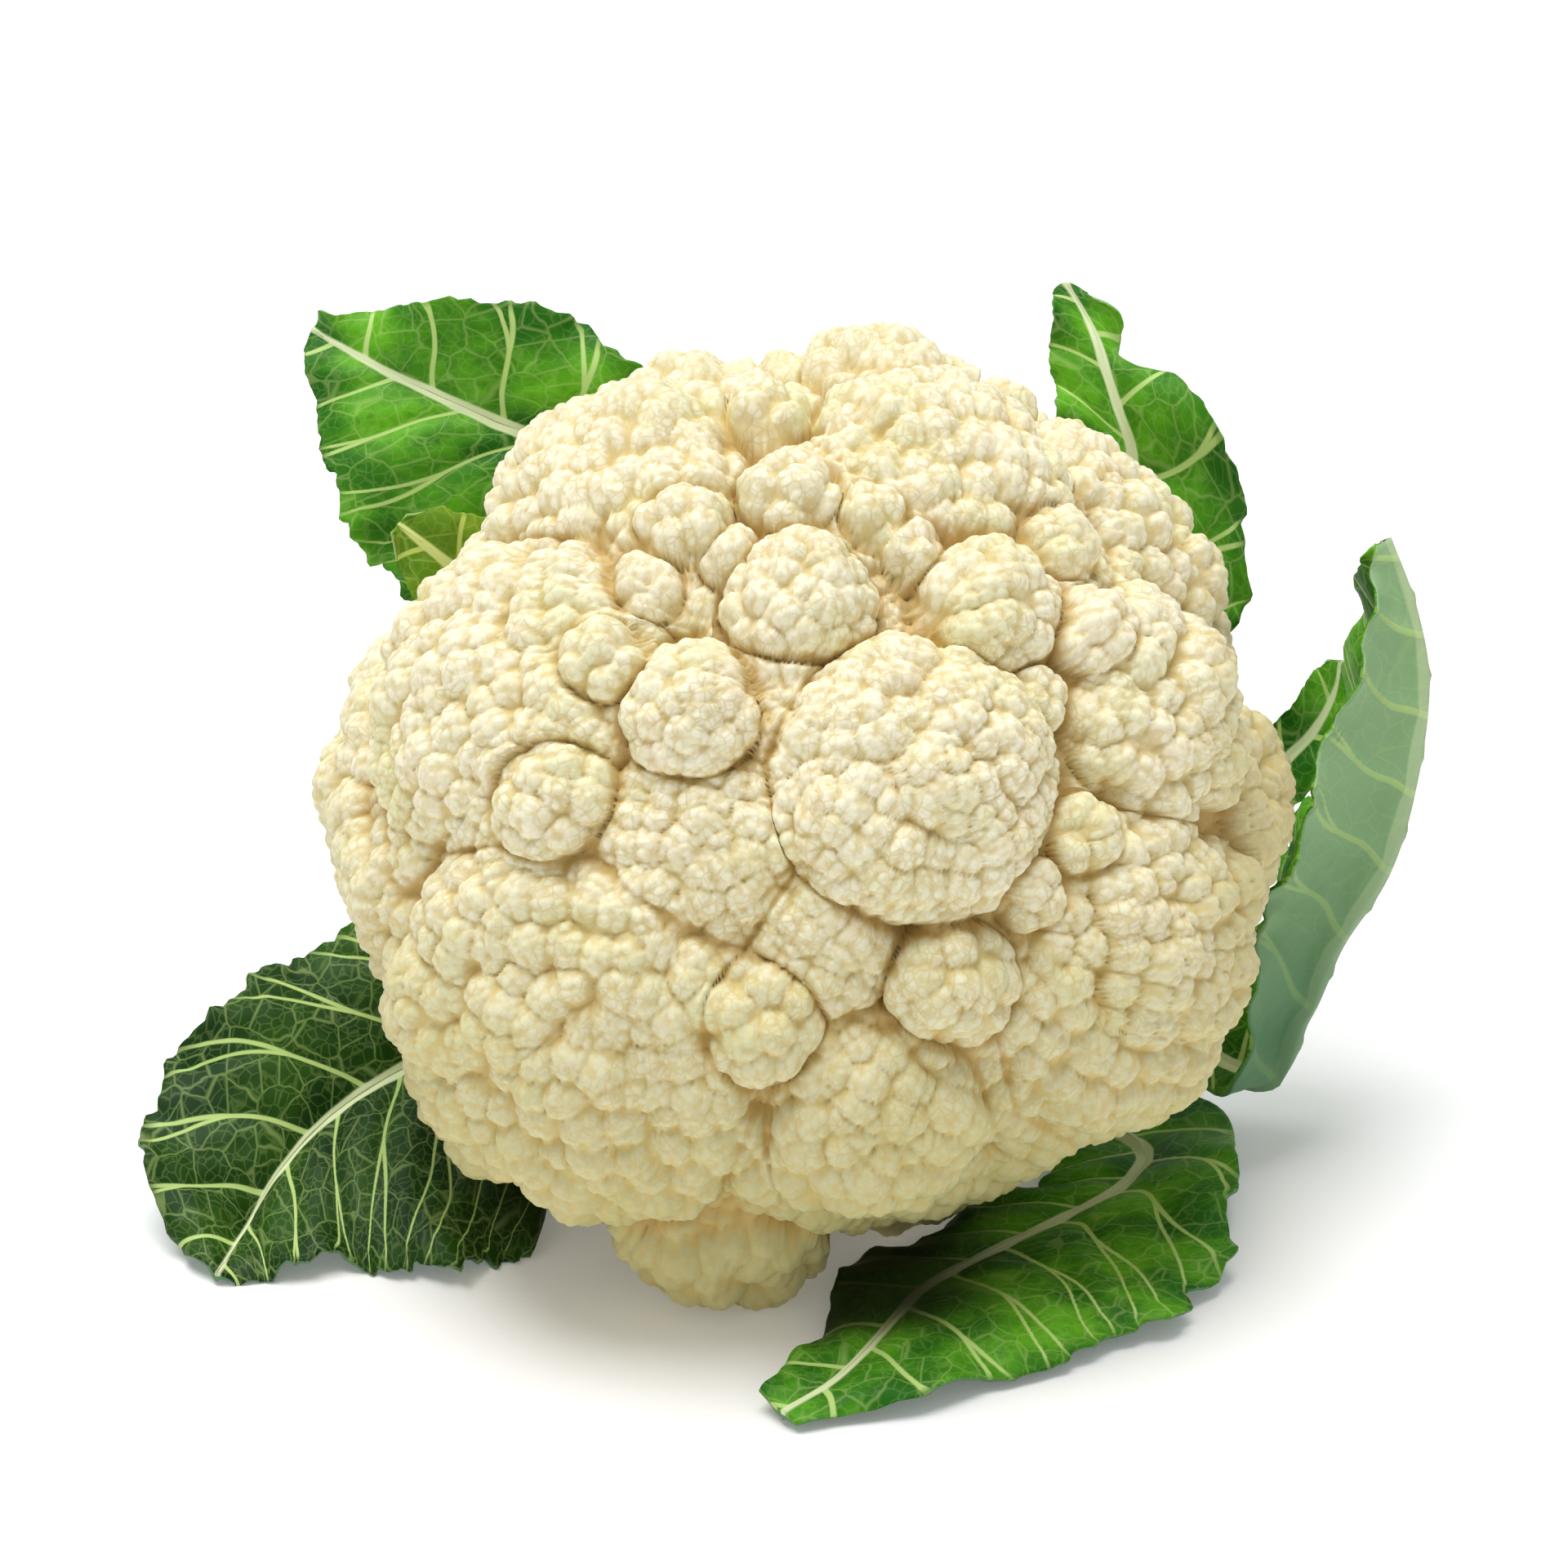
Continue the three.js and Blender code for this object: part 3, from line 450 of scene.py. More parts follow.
def add_mesh(name, places, faces, normals=None, numbers=None, maps=None):
    """An object from places in millimetres and arrays of faces, with per-vertex extras."""
    mesh = bpy.data.meshes.new(name)
    mesh.vertices.add(len(places))
    mesh.vertices.foreach_set("co", (places * MM).astype(np.float32).ravel())
    corners = np.concatenate([f.ravel() for f in faces]).astype(np.int32)
    sizes = np.concatenate([np.full(len(f), f.shape[1]) for f in faces])
    mesh.loops.add(len(corners))
    mesh.loops.foreach_set("vertex_index", corners)
    mesh.polygons.add(len(sizes))
    mesh.polygons.foreach_set("loop_start", (np.cumsum(sizes) - sizes).astype(np.int32))
    mesh.update(calc_edges=True)
    for key, values in (numbers or {}).items():
        spot = mesh.attributes.new(key, "FLOAT", "POINT")
        spot.data.foreach_set("value", values.astype(np.float32))
    for key, pairs in (maps or {}).items():
        layer = mesh.uv_layers.new(name=key)
        layer.data.foreach_set("uv", pairs[corners].astype(np.float32).ravel())
    mesh.polygons.foreach_set("use_smooth", np.ones(len(sizes), bool))
    if normals is not None:
        mesh.normals_split_custom_set_from_vertices(normals.tolist())
    made = bpy.data.objects.new(name, mesh)
    bpy.context.collection.objects.link(made)
    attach(made, "root")
    return made


steps = np.linspace(-1, 1, CURD_GRID + 1)
rows, columns = np.meshgrid(steps, steps, indexing="ij")
wide = np.abs(rows) > np.abs(columns)
ring = np.maximum(np.abs(rows), np.abs(columns))
turn = np.where(
    wide,
    math.pi / 4 * columns / np.where(wide, rows, 1) + math.pi * (rows < 0),
    math.pi / 2 - math.pi / 4 * rows / np.where(wide | (columns == 0), 1, columns)
    + math.pi * (columns < 0),
)
off = np.radians(CURD_WRAP * ring + CURD_WRAP_TAIL * ring ** 6)
directions = (
    np.cos(off)[..., None] * axis
    + (np.sin(off) * np.cos(turn))[..., None] * across
    + (np.sin(off) * np.sin(turn))[..., None] * uphill
)
flat_directions = directions.reshape(-1, 3)
reach, winner, crease, stands = curd_reach(flat_directions)
base = flat_directions * reach[:, None]
rounded = directions * blurred(reach.reshape(ring.shape), 5)[..., None]
heading = unit(0.6 * grid_normals(rounded).reshape(-1, 3) + 0.4 * flat_directions)

draw = np.random.default_rng(4)
lobe_heading = lattice(LOBE_COUNT, LOBE_JITTER, draw)
lobe_places = lobe_heading * curd_reach(lobe_heading)[0][:, None]
lobe_sizes = draw.uniform(*LOBE_SIZES, LOBE_COUNT)
_, lobe_cap, lobe_lead = highest_caps(base, lobe_places, lobe_sizes)
lobed = 1 - 0.75 * stands
lobe_edge = lobed * np.exp(-(lobe_lead / 1.3) ** 2)
lobe_rise = lobed * LOBE_RISE * (np.maximum(lobe_cap, -2) - LOBE_LEVEL)
base = base + heading * (lobe_rise - LOBE_CREASE * lobe_edge)[:, None]

draw = np.random.default_rng(11)
bud_heading = lattice(BUD_COUNT, BUD_JITTER, draw)
bud_side = unit(np.cross(bud_heading, np.roll(bud_heading, 1, axis=1) + 0.1 * UP))
leans = (0, bud_side, np.cross(bud_heading, bud_side))
spots = []
for lean in leans:
    leaning = unit(bud_heading + BUD_LEAN * lean)
    bud_reach, bud_winner = curd_reach(leaning)[:2]
    bud_floret = bud_winner if not spots else bud_floret
    spots.append(leaning * bud_reach[:, None])
bud_out = unit(np.cross(spots[1] - spots[0], spots[2] - spots[0]))
bud_side = unit(np.cross(bud_out, leans[2]))
bud_third = np.cross(bud_out, bud_side)
bud_radii = BUD_PITCH * draw.uniform(0.8, 1.2, BUD_COUNT)
bud_sizes = 0.72 * bud_radii
bud, cap, lead = highest_caps(base, spots[0], bud_sizes, stands, winner, bud_floret)

spread = 0.62 * bud_radii
counts = np.maximum(5, np.round(math.pi * (spread / GRANULE_PITCH) ** 2))
g = np.arange(int(counts.max()))
out = spread[:, None] * np.sqrt((g + 0.5) / counts[:, None])
turned = g * GOLDEN_ANGLE + draw.uniform(0, 6, BUD_COUNT)[:, None]
turned = turned + draw.uniform(-0.2, 0.2, turned.shape)
granules = np.stack([out * np.cos(turned), out * np.sin(turned)], -1)
granules[g[None, :] >= counts[:, None]] = 1e3
granule_sizes = 0.62 * np.sqrt(math.pi / counts) * spread
offset = base - spots[0][bud]
flat = np.stack([(offset * bud_side[bud]).sum(1), (offset * bud_third[bud]).sum(1)], -1)
apart = ((flat[:, None] - granules[bud]) ** 2).sum(axis=-1).min(axis=1)
own = granule_sizes[bud]
# Painted shade: pit and bud edge darken the curd's colour between granules and between buds, where shade
# falls.
pits = np.clip(apart / own ** 2, 0, 1).reshape(ring.shape)
bud_edge = np.exp(-(lead / 0.9) ** 2).reshape(ring.shape)
rise = BUD_RISE * np.maximum(cap, 0) - BUD_DROP * bud_sizes[bud]
rise = rise + GRANULE_RISE * np.maximum(0, own - apart / own)
swell = 0.6 * ripple(base, 17, 5)
places = base + heading * (rise * smooth(flat_directions @ axis, -0.62, -0.5) + swell)[:, None]
crease = crease.reshape(ring.shape)
reach = np.linalg.norm(places, axis=1).reshape(ring.shape)
# Painted shade: hollow and gorge darken the colour in small and broad hollows and along the creases.
hollow = np.clip((blurred(reach, 4) - reach) / 0.7, 0, 1)
lines = 0.5 * crease + 0.2 * lobe_edge.reshape(ring.shape)
gorge = np.clip((blurred(reach, 15) - reach) / 4.0 + lines, 0, 1)
below = np.maximum(0, NECK_LEVEL - places @ axis)
places = places + below[:, None] * axis + HEAD_CENTRE
places[:, 2] = np.maximum(places[:, 2], 0)
grid = places.reshape(*ring.shape, 3)
normals = grid_normals(grid)
height = places[:, 2].reshape(ring.shape)
# Painted shade: the curd is coloured darker and greener the lower it lies, where less light falls.
shade = smooth(height, 120, 8)
# Painted shade: the florets at the right, behind the right leaf, are coloured olive where that leaf
# shades them.
right_leaf_shade = smooth(grid[..., 0], 78, 108) * smooth(grid @ front_up, 20, 60)

curd_material, start, surface = new_material("curd", 0.62, Specular_IOR_Level=0.3)
gorge_shade = start.node("ShaderNodeAttribute", 2, {"attribute_name": "gorge"})
fine = start.node("ShaderNodeAttribute", 2, {"attribute_name": "hollow"})
pit = start.node("ShaderNodeAttribute", 2, {"attribute_name": "pit"})
edge = start.node("ShaderNodeAttribute", 2, {"attribute_name": "bud edge"})
low = start.node("ShaderNodeAttribute", 2, {"attribute_name": "shade"})
painted_leaf_shade = start.node("ShaderNodeAttribute", 2, {"attribute_name": "right_leaf_shade"})
where = start.node("ShaderNodeTexCoord", 3)
blush = start.node("ShaderNodeTexNoise", 0, Vector=where, Scale=70.0, Detail=3.0)
moss = start.node(
    "ShaderNodeTexNoise", 0, {"noise_dimensions": "4D"}, Vector=where, W=4.0, Scale=55.0, Detail=3.0,
)
speck = start.node("ShaderNodeTexNoise", 0, Vector=where, Scale=420.0, Detail=2.0)
grain = start.node("ShaderNodeTexVoronoi", 0, {"feature": "F1"}, Vector=where, Scale=640.0)
tint = blush.step(0.45, 0.72).mix(colour(250, 246, 220), colour(250, 241, 214))
tint = moss.step(0.45, 0.7).mix(tint, colour(240, 239, 198))
tint = (grain.step(0.35, 0.75) * 0.4).mix(tint, colour(224, 208, 150))
# Painted shade towards the bottom of the curd.
tint = (low * 0.85).mix(tint, colour(192, 184, 118))
# Painted shade of the right leaf on the florets behind it.
tint = (painted_leaf_shade * 0.6).mix(tint, colour(186, 172, 104))
patchy = start.node("ShaderNodeTexNoise", 0, Vector=where, Scale=130.0, Detail=2.0).step(0.38, 0.62)
cells = start.node(
    "ShaderNodeTexVoronoi", 0, {"feature": "DISTANCE_TO_EDGE"}, Vector=where, Scale=430.0,
)
net = 1 - cells.step(0.02, 0.13)
tint = (net * (0.12 + patchy * 0.3)).mix(tint, colour(208, 184, 112))
# Painted shade in the pits, bud edges, hollows and gorges: tan where shade falls and light scatters in
# the curd.
tint = (pit.step(0.4, 1.0) * 0.5).mix(tint, colour(212, 188, 118))
tint = (edge * 0.38).mix(tint, colour(204, 178, 104))
tint = (fine.step(0.1, 1.0) * 0.5).mix(tint, colour(212, 190, 118))
tint = (gorge_shade.step(0.2, 1.0) * 0.65).mix(tint, colour(196, 160, 86))
start.plug(surface.inputs["Base Color"], tint)
bumpy = grain * -0.0006 + speck * 0.0002
start.plug(surface.inputs["Normal"], start.node("ShaderNodeBump", 0, Height=bumpy, Strength=0.8))

edges = np.linspace(0, CURD_GRID, CURD_BANDS + 1).round().astype(int)
for k, (first, last) in enumerate(zip(edges[:-1], edges[1:])):
    part = grid[first:last + 1]
    ids = np.arange(part.shape[0] * part.shape[1]).reshape(part.shape[:2])
    quads = np.stack([ids[:-1, :-1], ids[1:, :-1], ids[1:, 1:], ids[:-1, 1:]], -1).reshape(-1, 4)
    loop = np.concatenate([ids[0, :-1], ids[:-1, -1], ids[-1, :0:-1], ids[:0:-1, 0]])
    walls = np.stack([loop, np.roll(loop, -1), np.full(len(loop), ids.size)], -1)

    def with_apex(field, apex):
        return np.concatenate([field[first:last + 1].reshape(ids.size, -1), apex]).squeeze()

    made = add_mesh(
        f"curd_wedge_{k + 1}",
        with_apex(grid, HEAD_CENTRE[None]),
        [quads, walls],
        normals=with_apex(normals, axis[None]),
        numbers={
            key: with_apex(field, np.zeros((1, 1)))
            for key, field in zip(
                ("hollow", "gorge", "shade", "right_leaf_shade", "pit", "bud edge"),
                (hollow, gorge, shade, right_leaf_shade, pits, bud_edge),
            )
        },
    )
    made.data.materials.append(curd_material)
    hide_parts("curd")


# Leaves
# Each is a sheet between three lines, arched and waved, with blisters between its side veins
# and the thick rib on its underside. The flat map gives each place in millimetres / 100 across
# from the midrib and along it.
STUMP_LENGTH = 45.0
STUMP_PROFILE = [(24, 0), (26.5, 10), (29, 22), (28.5, 34), (26.5, 41), (24.5, 45)]
GAP = 0.3
BLADE = 1.2
PETIOLE = 7.0
MIDRIB = 3.6
RIB_HALF_WIDTH = 0.2
CURD_CLEARANCE = 3.0         # over the curd without its buds
STUMP_CLEARANCE = 1.6
BASE_LEVELS = (-80.0, -64.0)
VEIN_SPACING = 15.0
VEIN_SLOPE = 0.6
LEAF_ROWS = 130
LEAF_COLUMNS = 73


def stump_radius(level):
    """Radius of the stump at a level along the axis, straight between the profile's points."""
    radii, downs = zip(*STUMP_PROFILE)
    return np.interp(NECK_LEVEL - GAP - level, downs, radii)


def keep_clear(places):
    """Moves places of a blade's middle sheet clear of the florets and of the stump."""
    offset = places - HEAD_CENTRE
    far = np.linalg.norm(offset, axis=-1)
    heading = unit(offset)
    least = curd_reach(heading.reshape(-1, 3))[0].reshape(far.shape) + CURD_CLEARANCE
    offset = heading * np.maximum(far, least)[..., None]
    level = offset @ axis
    beside = (level < NECK_LEVEL) & (level > NECK_LEVEL - STUMP_LENGTH - PETIOLE)
    outward = offset - level[..., None] * axis
    apart = np.linalg.norm(outward, axis=-1)
    short = np.where(beside, np.maximum(0, stump_radius(level) + STUMP_CLEARANCE - apart), 0)
    return offset + unit(outward) * short[..., None] + HEAD_CENTRE


def smooth_line(points, t):
    """Uniform Catmull-Rom curve with tension 0.5 through points, at shares t of its length."""
    points = np.array(points)
    points = np.concatenate([[2 * points[0] - points[1]], points, [2 * points[-1] - points[-2]]])
    last = len(points) - 3
    at = np.clip(t, 0, 1) * last
    k = np.minimum(at.astype(int), last - 1)
    s = (at - k)[:, None]
    a, b, c, d = (points[k + n] for n in range(4))
    m, n = 0.5 * (c - a), 0.5 * (d - b)
    return b + m * s + (3 * (c - b) - 2 * m - n) * s ** 2 + (2 * (b - c) + m + n) * s ** 3


def sheet_normals(sheet):
    """Directions square to a sheet, towards the leaf's upper face: across × along."""
    return unit(np.cross(np.gradient(sheet, axis=1), np.gradient(sheet, axis=0)))


def vein_lines(family, side_distance):
    """Distance in millimetres to the nearest side vein, which forks further out."""
    apart = np.abs((family + 0.5) % 1 - 0.5)
    spread = np.clip((side_distance - 14) * 0.012, 0, 0.24)
    return np.abs(apart - spread) * VEIN_SPACING * 0.86


def closed_sheet(rows, columns):
    """Faces of a closed body from two grids of points, one after the other, joined at the rim."""
    ids = np.arange(rows * columns).reshape(rows, columns)
    upper = np.stack([ids[:-1, :-1], ids[:-1, 1:], ids[1:, 1:], ids[1:, :-1]], -1).reshape(-1, 4)
    under = upper[:, ::-1] + ids.size
    loop = np.concatenate([ids[0, :-1], ids[:-1, -1], ids[-1, :0:-1], ids[:0:-1, 0]])
    ahead = np.roll(loop, -1)
    rim = np.stack([loop, loop + ids.size, ahead + ids.size, ahead], -1)
    return [upper, under, rim]


def leaf_mesh(name, lines, arch, wave, waves, scallop, scallops, rib, rows, columns, seed, relief=1.0):
    """A leaf from its three lines. See the section's opening lines for how its sheet is shaped."""
    draw = np.random.default_rng(seed)
    phase = draw.uniform(0, 2 * math.pi, 6)
    t = np.linspace(0, 1, rows)[:, None]
    v = np.linspace(-1, 1, columns)
    v = (np.sign(v) * np.abs(v) ** 1.2)[None, :]
    middle = smooth_line(lines["midrib"], t[:, 0])[:, None]
    left = smooth_line(lines["left"], t[:, 0])[:, None]
    right = smooth_line(lines["right"], t[:, 0])[:, None]
    cut = 1 + scallop * np.sin(2 * math.pi * scallops * t)
    teeth = relief * smooth(t, 0.3, 0.45) * (
        0.014 * np.sin(150 * t + phase[0] + v) + 0.011 * np.sin(231 * t + phase[1])
        + 0.018 * np.sin(67 * t + phase[2])
    )
    share = np.abs(v) * (1 + (cut - 1) * v ** 4 + teeth * v ** 8)
    edge = np.where((v < 0)[..., None], left, right)
    flat = middle + (edge - middle) * share[..., None]
    half = np.linalg.norm(edge - middle, axis=-1) * (1 + (cut - 1) * v ** 4)
    along = np.concatenate([[0], np.cumsum(np.linalg.norm(np.diff(middle[:, 0], axis=0), axis=-1))])
    along = along[:, None] + 0 * v
    lateral = v * half
    away = np.abs(lateral)
    bends = np.sin(lateral / 8 + along / 19 + phase[3]) + 0.8 * np.sin(along / 9 + away / 6 + phase[4])
    family = (along - VEIN_SLOPE * away - 0.004 * away ** 2 + bends * smooth(away, 0, 8)) / VEIN_SPACING
    vein = vein_lines(family + 0.5 * (lateral > 0), away)
    blade = smooth(t, 0.15, 0.4)
    bulge = arch * half * 4 * np.abs(v) * (1 - np.abs(v))
    swing = wave * v * v * np.sin(2 * math.pi * waves * t + np.where(v < 0, 1.3, 0))
    ruffle = 0.9 * v ** 4 * np.sin(along / 2.4 + 2 * np.sin(along / 13 + phase[5]))
    between = 1 - np.exp(-(vein / 2.4) ** 2) * (1 - 0.4 * np.abs(v))
    between = between * (1 - np.exp(-(away / 3) ** 2))
    puffs = 0.16 * np.sin(lateral / 1.1 + phase[0]) * np.sin(along / 1.25 + phase[1])
    lift = blade * (bulge + swing + relief * (ruffle + 1.1 * between + puffs * between))
    sheet = keep_clear(flat + sheet_normals(flat) * lift[..., None])
    square = sheet_normals(sheet)
    base = 1 - smooth(t, 0.08, 0.4)
    ridge = np.maximum(0, 1 - np.abs(v) / RIB_HALF_WIDTH)
    ridge = smooth(ridge, -0.1, 1.1) * (1 - 0.75 * t)
    thin = BLADE * (1 - 0.35 * v ** 4)
    depth = thin + (rib - BLADE) * ridge * (1 - base) + (PETIOLE - BLADE) * base * (1 - 0.55 * v ** 2)
    depth = depth + relief * blade * 0.45 * np.exp(-(vein / 0.9) ** 2)
    crest = relief * blade * 0.5 * np.exp(-(away / (2.2 - 1.5 * t)) ** 2)
    top = sheet + square * (BLADE / 2 + crest)[..., None]
    bottom = sheet + square * (BLADE / 2 - depth)[..., None]
    sunk = np.maximum(0, np.maximum(-bottom[..., 2], -top[..., 2]))
    top[..., 2] += np.maximum(np.maximum(0, -top[..., 2]), np.where(base < 0.5, sunk, 0))
    bottom[..., 2] += sunk
    flat_map = np.stack([lateral, along], -1).reshape(-1, 2) / 100
    offset = sheet - HEAD_CENTRE
    gap = np.linalg.norm(offset, axis=-1) - body_reach(unit(offset))
    # Painted shadow: the leaves are darkened close to the curd, under and beside it, where the head
    # shades them.
    head_shadow = smooth(gap, 27, 14) * smooth(sheet[..., 2], 45, 12) * smooth(sheet[..., 0], 66, 34)
    both = {
        "family": np.tile(family.ravel(), 2),
        "head_shadow": np.tile(head_shadow.ravel(), 2),
        # Painted shade: 'low' darkens the leaves' undersides the nearer they are to the floor.
        "low": np.tile(smooth(sheet[..., 2], 85, 20).ravel(), 2),
        # Painted shade: 'dim' darkens the lower, left-hand leaves, which lie in the curd's shade.
        "dim": np.tile((smooth(sheet[..., 2], 75, 30) * smooth(sheet[..., 0], 0, -50)).ravel(), 2),
        "along": np.tile((t + 0 * v).ravel(), 2),
        "across": np.tile(np.abs(v + 0 * t).ravel(), 2),
        "upper": np.repeat([1.0, 0.0], rows * columns),
    }
    made = add_mesh(
        name + "_skin", np.concatenate([top.reshape(-1, 3), bottom.reshape(-1, 3)]),
        closed_sheet(rows, columns), numbers=both, maps={"flat": np.tile(flat_map, (2, 1))},
    )
    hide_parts(name)
    return made


def leaf_material(name, dark, light, under, vein_colour, base_colour):
    """Green between pale veins: midrib, forked side veins and a fine net, paler underneath, with painted
    shade under and beside the curd and lower down.
    """
    made, start, surface = new_material(name, 0.55, Specular_IOR_Level=0.18)
    place = start.node("ShaderNodeUVMap", 0, {"uv_map": "flat"})
    split = start.node("ShaderNodeSeparateXYZ", 0, Vector=place)
    lateral = split * 100
    family = start.node("ShaderNodeAttribute", 2, {"attribute_name": "family"})
    along = start.node("ShaderNodeAttribute", 2, {"attribute_name": "along"})
    outer = start.node("ShaderNodeAttribute", 2, {"attribute_name": "across"})
    low = start.node("ShaderNodeAttribute", 2, {"attribute_name": "low"})
    dim = start.node("ShaderNodeAttribute", 2, {"attribute_name": "dim"})
    head_shadow = start.node("ShaderNodeAttribute", 2, {"attribute_name": "head_shadow"})
    upper = start.node("ShaderNodeAttribute", 2, {"attribute_name": "upper"}).step(0.45, 0.55)
    away = start.maths("ABSOLUTE", lateral)
    own = family + lateral.step(-0.02, 0.02) * 0.5
    apart = start.maths("ABSOLUTE", start.maths("FLOORED_MODULO", own + 0.5, 1.0) - 0.5)
    spread = start.maths("MINIMUM", start.maths("MAXIMUM", (away - 14) * 0.012, 0.0), 0.24)
    vein = start.maths("ABSOLUTE", apart - spread) * VEIN_SPACING * 0.86
    width = 0.42 - away * 0.008
    side_veins = 1 - ((vein - width) / 0.35).step(0.0, 1.0)
    side_veins = side_veins * (1 - outer.step(0.88, 1.0) * 0.6)
    rib_width = 2.7 - along * 2.3
    midrib = 1 - ((away - rib_width) / 0.5).step(0.0, 1.0)
    wander = start.node("ShaderNodeTexNoise", 0, Vector=place, Scale=18.0, Detail=2.0)
    moved = start.node(
        "ShaderNodeVectorMath", 0, {"operation": "ADD"}, i0=place,
        i1=start.node("ShaderNodeCombineXYZ", 0, X=wander * 0.03, Y=wander * -0.03),
    )
    cells = start.node(
        "ShaderNodeTexVoronoi", 0, {"feature": "DISTANCE_TO_EDGE"}, Vector=moved, Scale=17.0,
    )
    small = start.node(
        "ShaderNodeTexVoronoi", 0, {"feature": "DISTANCE_TO_EDGE"}, Vector=moved, Scale=48.0,
    )
    net = (1 - cells.step(0.0, 0.05)) * 0.3
    mesh_net = (1 - small.step(0.0, 0.1)) * 0.12
    patch = start.node("ShaderNodeTexNoise", 0, Vector=place, Scale=6.0, Detail=4.0)
    flecks = start.node("ShaderNodeTexNoise", 0, Vector=place, Scale=60.0, Detail=3.0)
    green = patch.step(0.35, 0.68).mix(dark, light)
    green = (flecks.step(0.45, 0.8) * 0.4).mix(green, dark)
    # Painted shade on the lower left-hand leaves.
    green = (dim * 0.85).mix(green, colour(6, 34, 2))
    green = upper.mix(under, green)
    lines = start.maths("MAXIMUM", side_veins, start.maths("MAXIMUM", net, mesh_net))
    green = (lines * (0.55 + upper * 0.35)).mix(green, vein_colour)
    green = (midrib * (0.35 + upper * 0.65)).mix(green, base_colour)
    green = (1 - along.step(0.1, 0.3)).mix(green, base_colour)
    # Painted shade on the lower part of the undersides.
    green = ((1 - upper) * low * 0.75).mix(green, colour(62, 112, 76))
    # Painted shadow of the curd on the leaves near it.
    green = (head_shadow * 0.93).mix(green, colour(8, 16, 5))
    start.plug(surface.inputs["Base Color"], green)
    puff = cells.step(0.0, 0.3) * 0.0004 + small.step(0.0, 0.4) * 0.00012 + flecks * 0.0001
    start.plug(surface.inputs["Normal"], start.node("ShaderNodeBump", 0, Height=puff, Strength=0.7))
    return made


leaf_skin = leaf_material(
    "leaf", colour(32, 102, 8), colour(98, 174, 24), colour(140, 176, 128),
    colour(192, 220, 132), colour(220, 232, 184),
)
young_skin = leaf_material(
    "young leaf", colour(84, 128, 14), colour(140, 172, 40), colour(150, 180, 110),
    colour(198, 214, 110), colour(214, 226, 140),
)
stump_skin, start, surface = new_material("stump", 0.5, Specular_IOR_Level=0.4)
where = start.node("ShaderNodeTexCoord", 3)
mottle = start.node("ShaderNodeTexNoise", 0, Vector=where, Scale=90.0, Detail=5.0)
fibre = start.node("ShaderNodeTexNoise", 0, Vector=where, Scale=500.0, Detail=2.0)
skin = mottle.step(0.35, 0.7).mix(colour(176, 196, 128), colour(222, 228, 186))
skin = (fibre.step(0.5, 0.8) * 0.4).mix(skin, colour(158, 178, 110))
start.plug(surface.inputs["Base Color"], skin)
start.plug(
    surface.inputs["Normal"],
    start.node("ShaderNodeBump", 0, Height=mottle * 0.0005 + fibre * 0.0001, Strength=0.6),
)

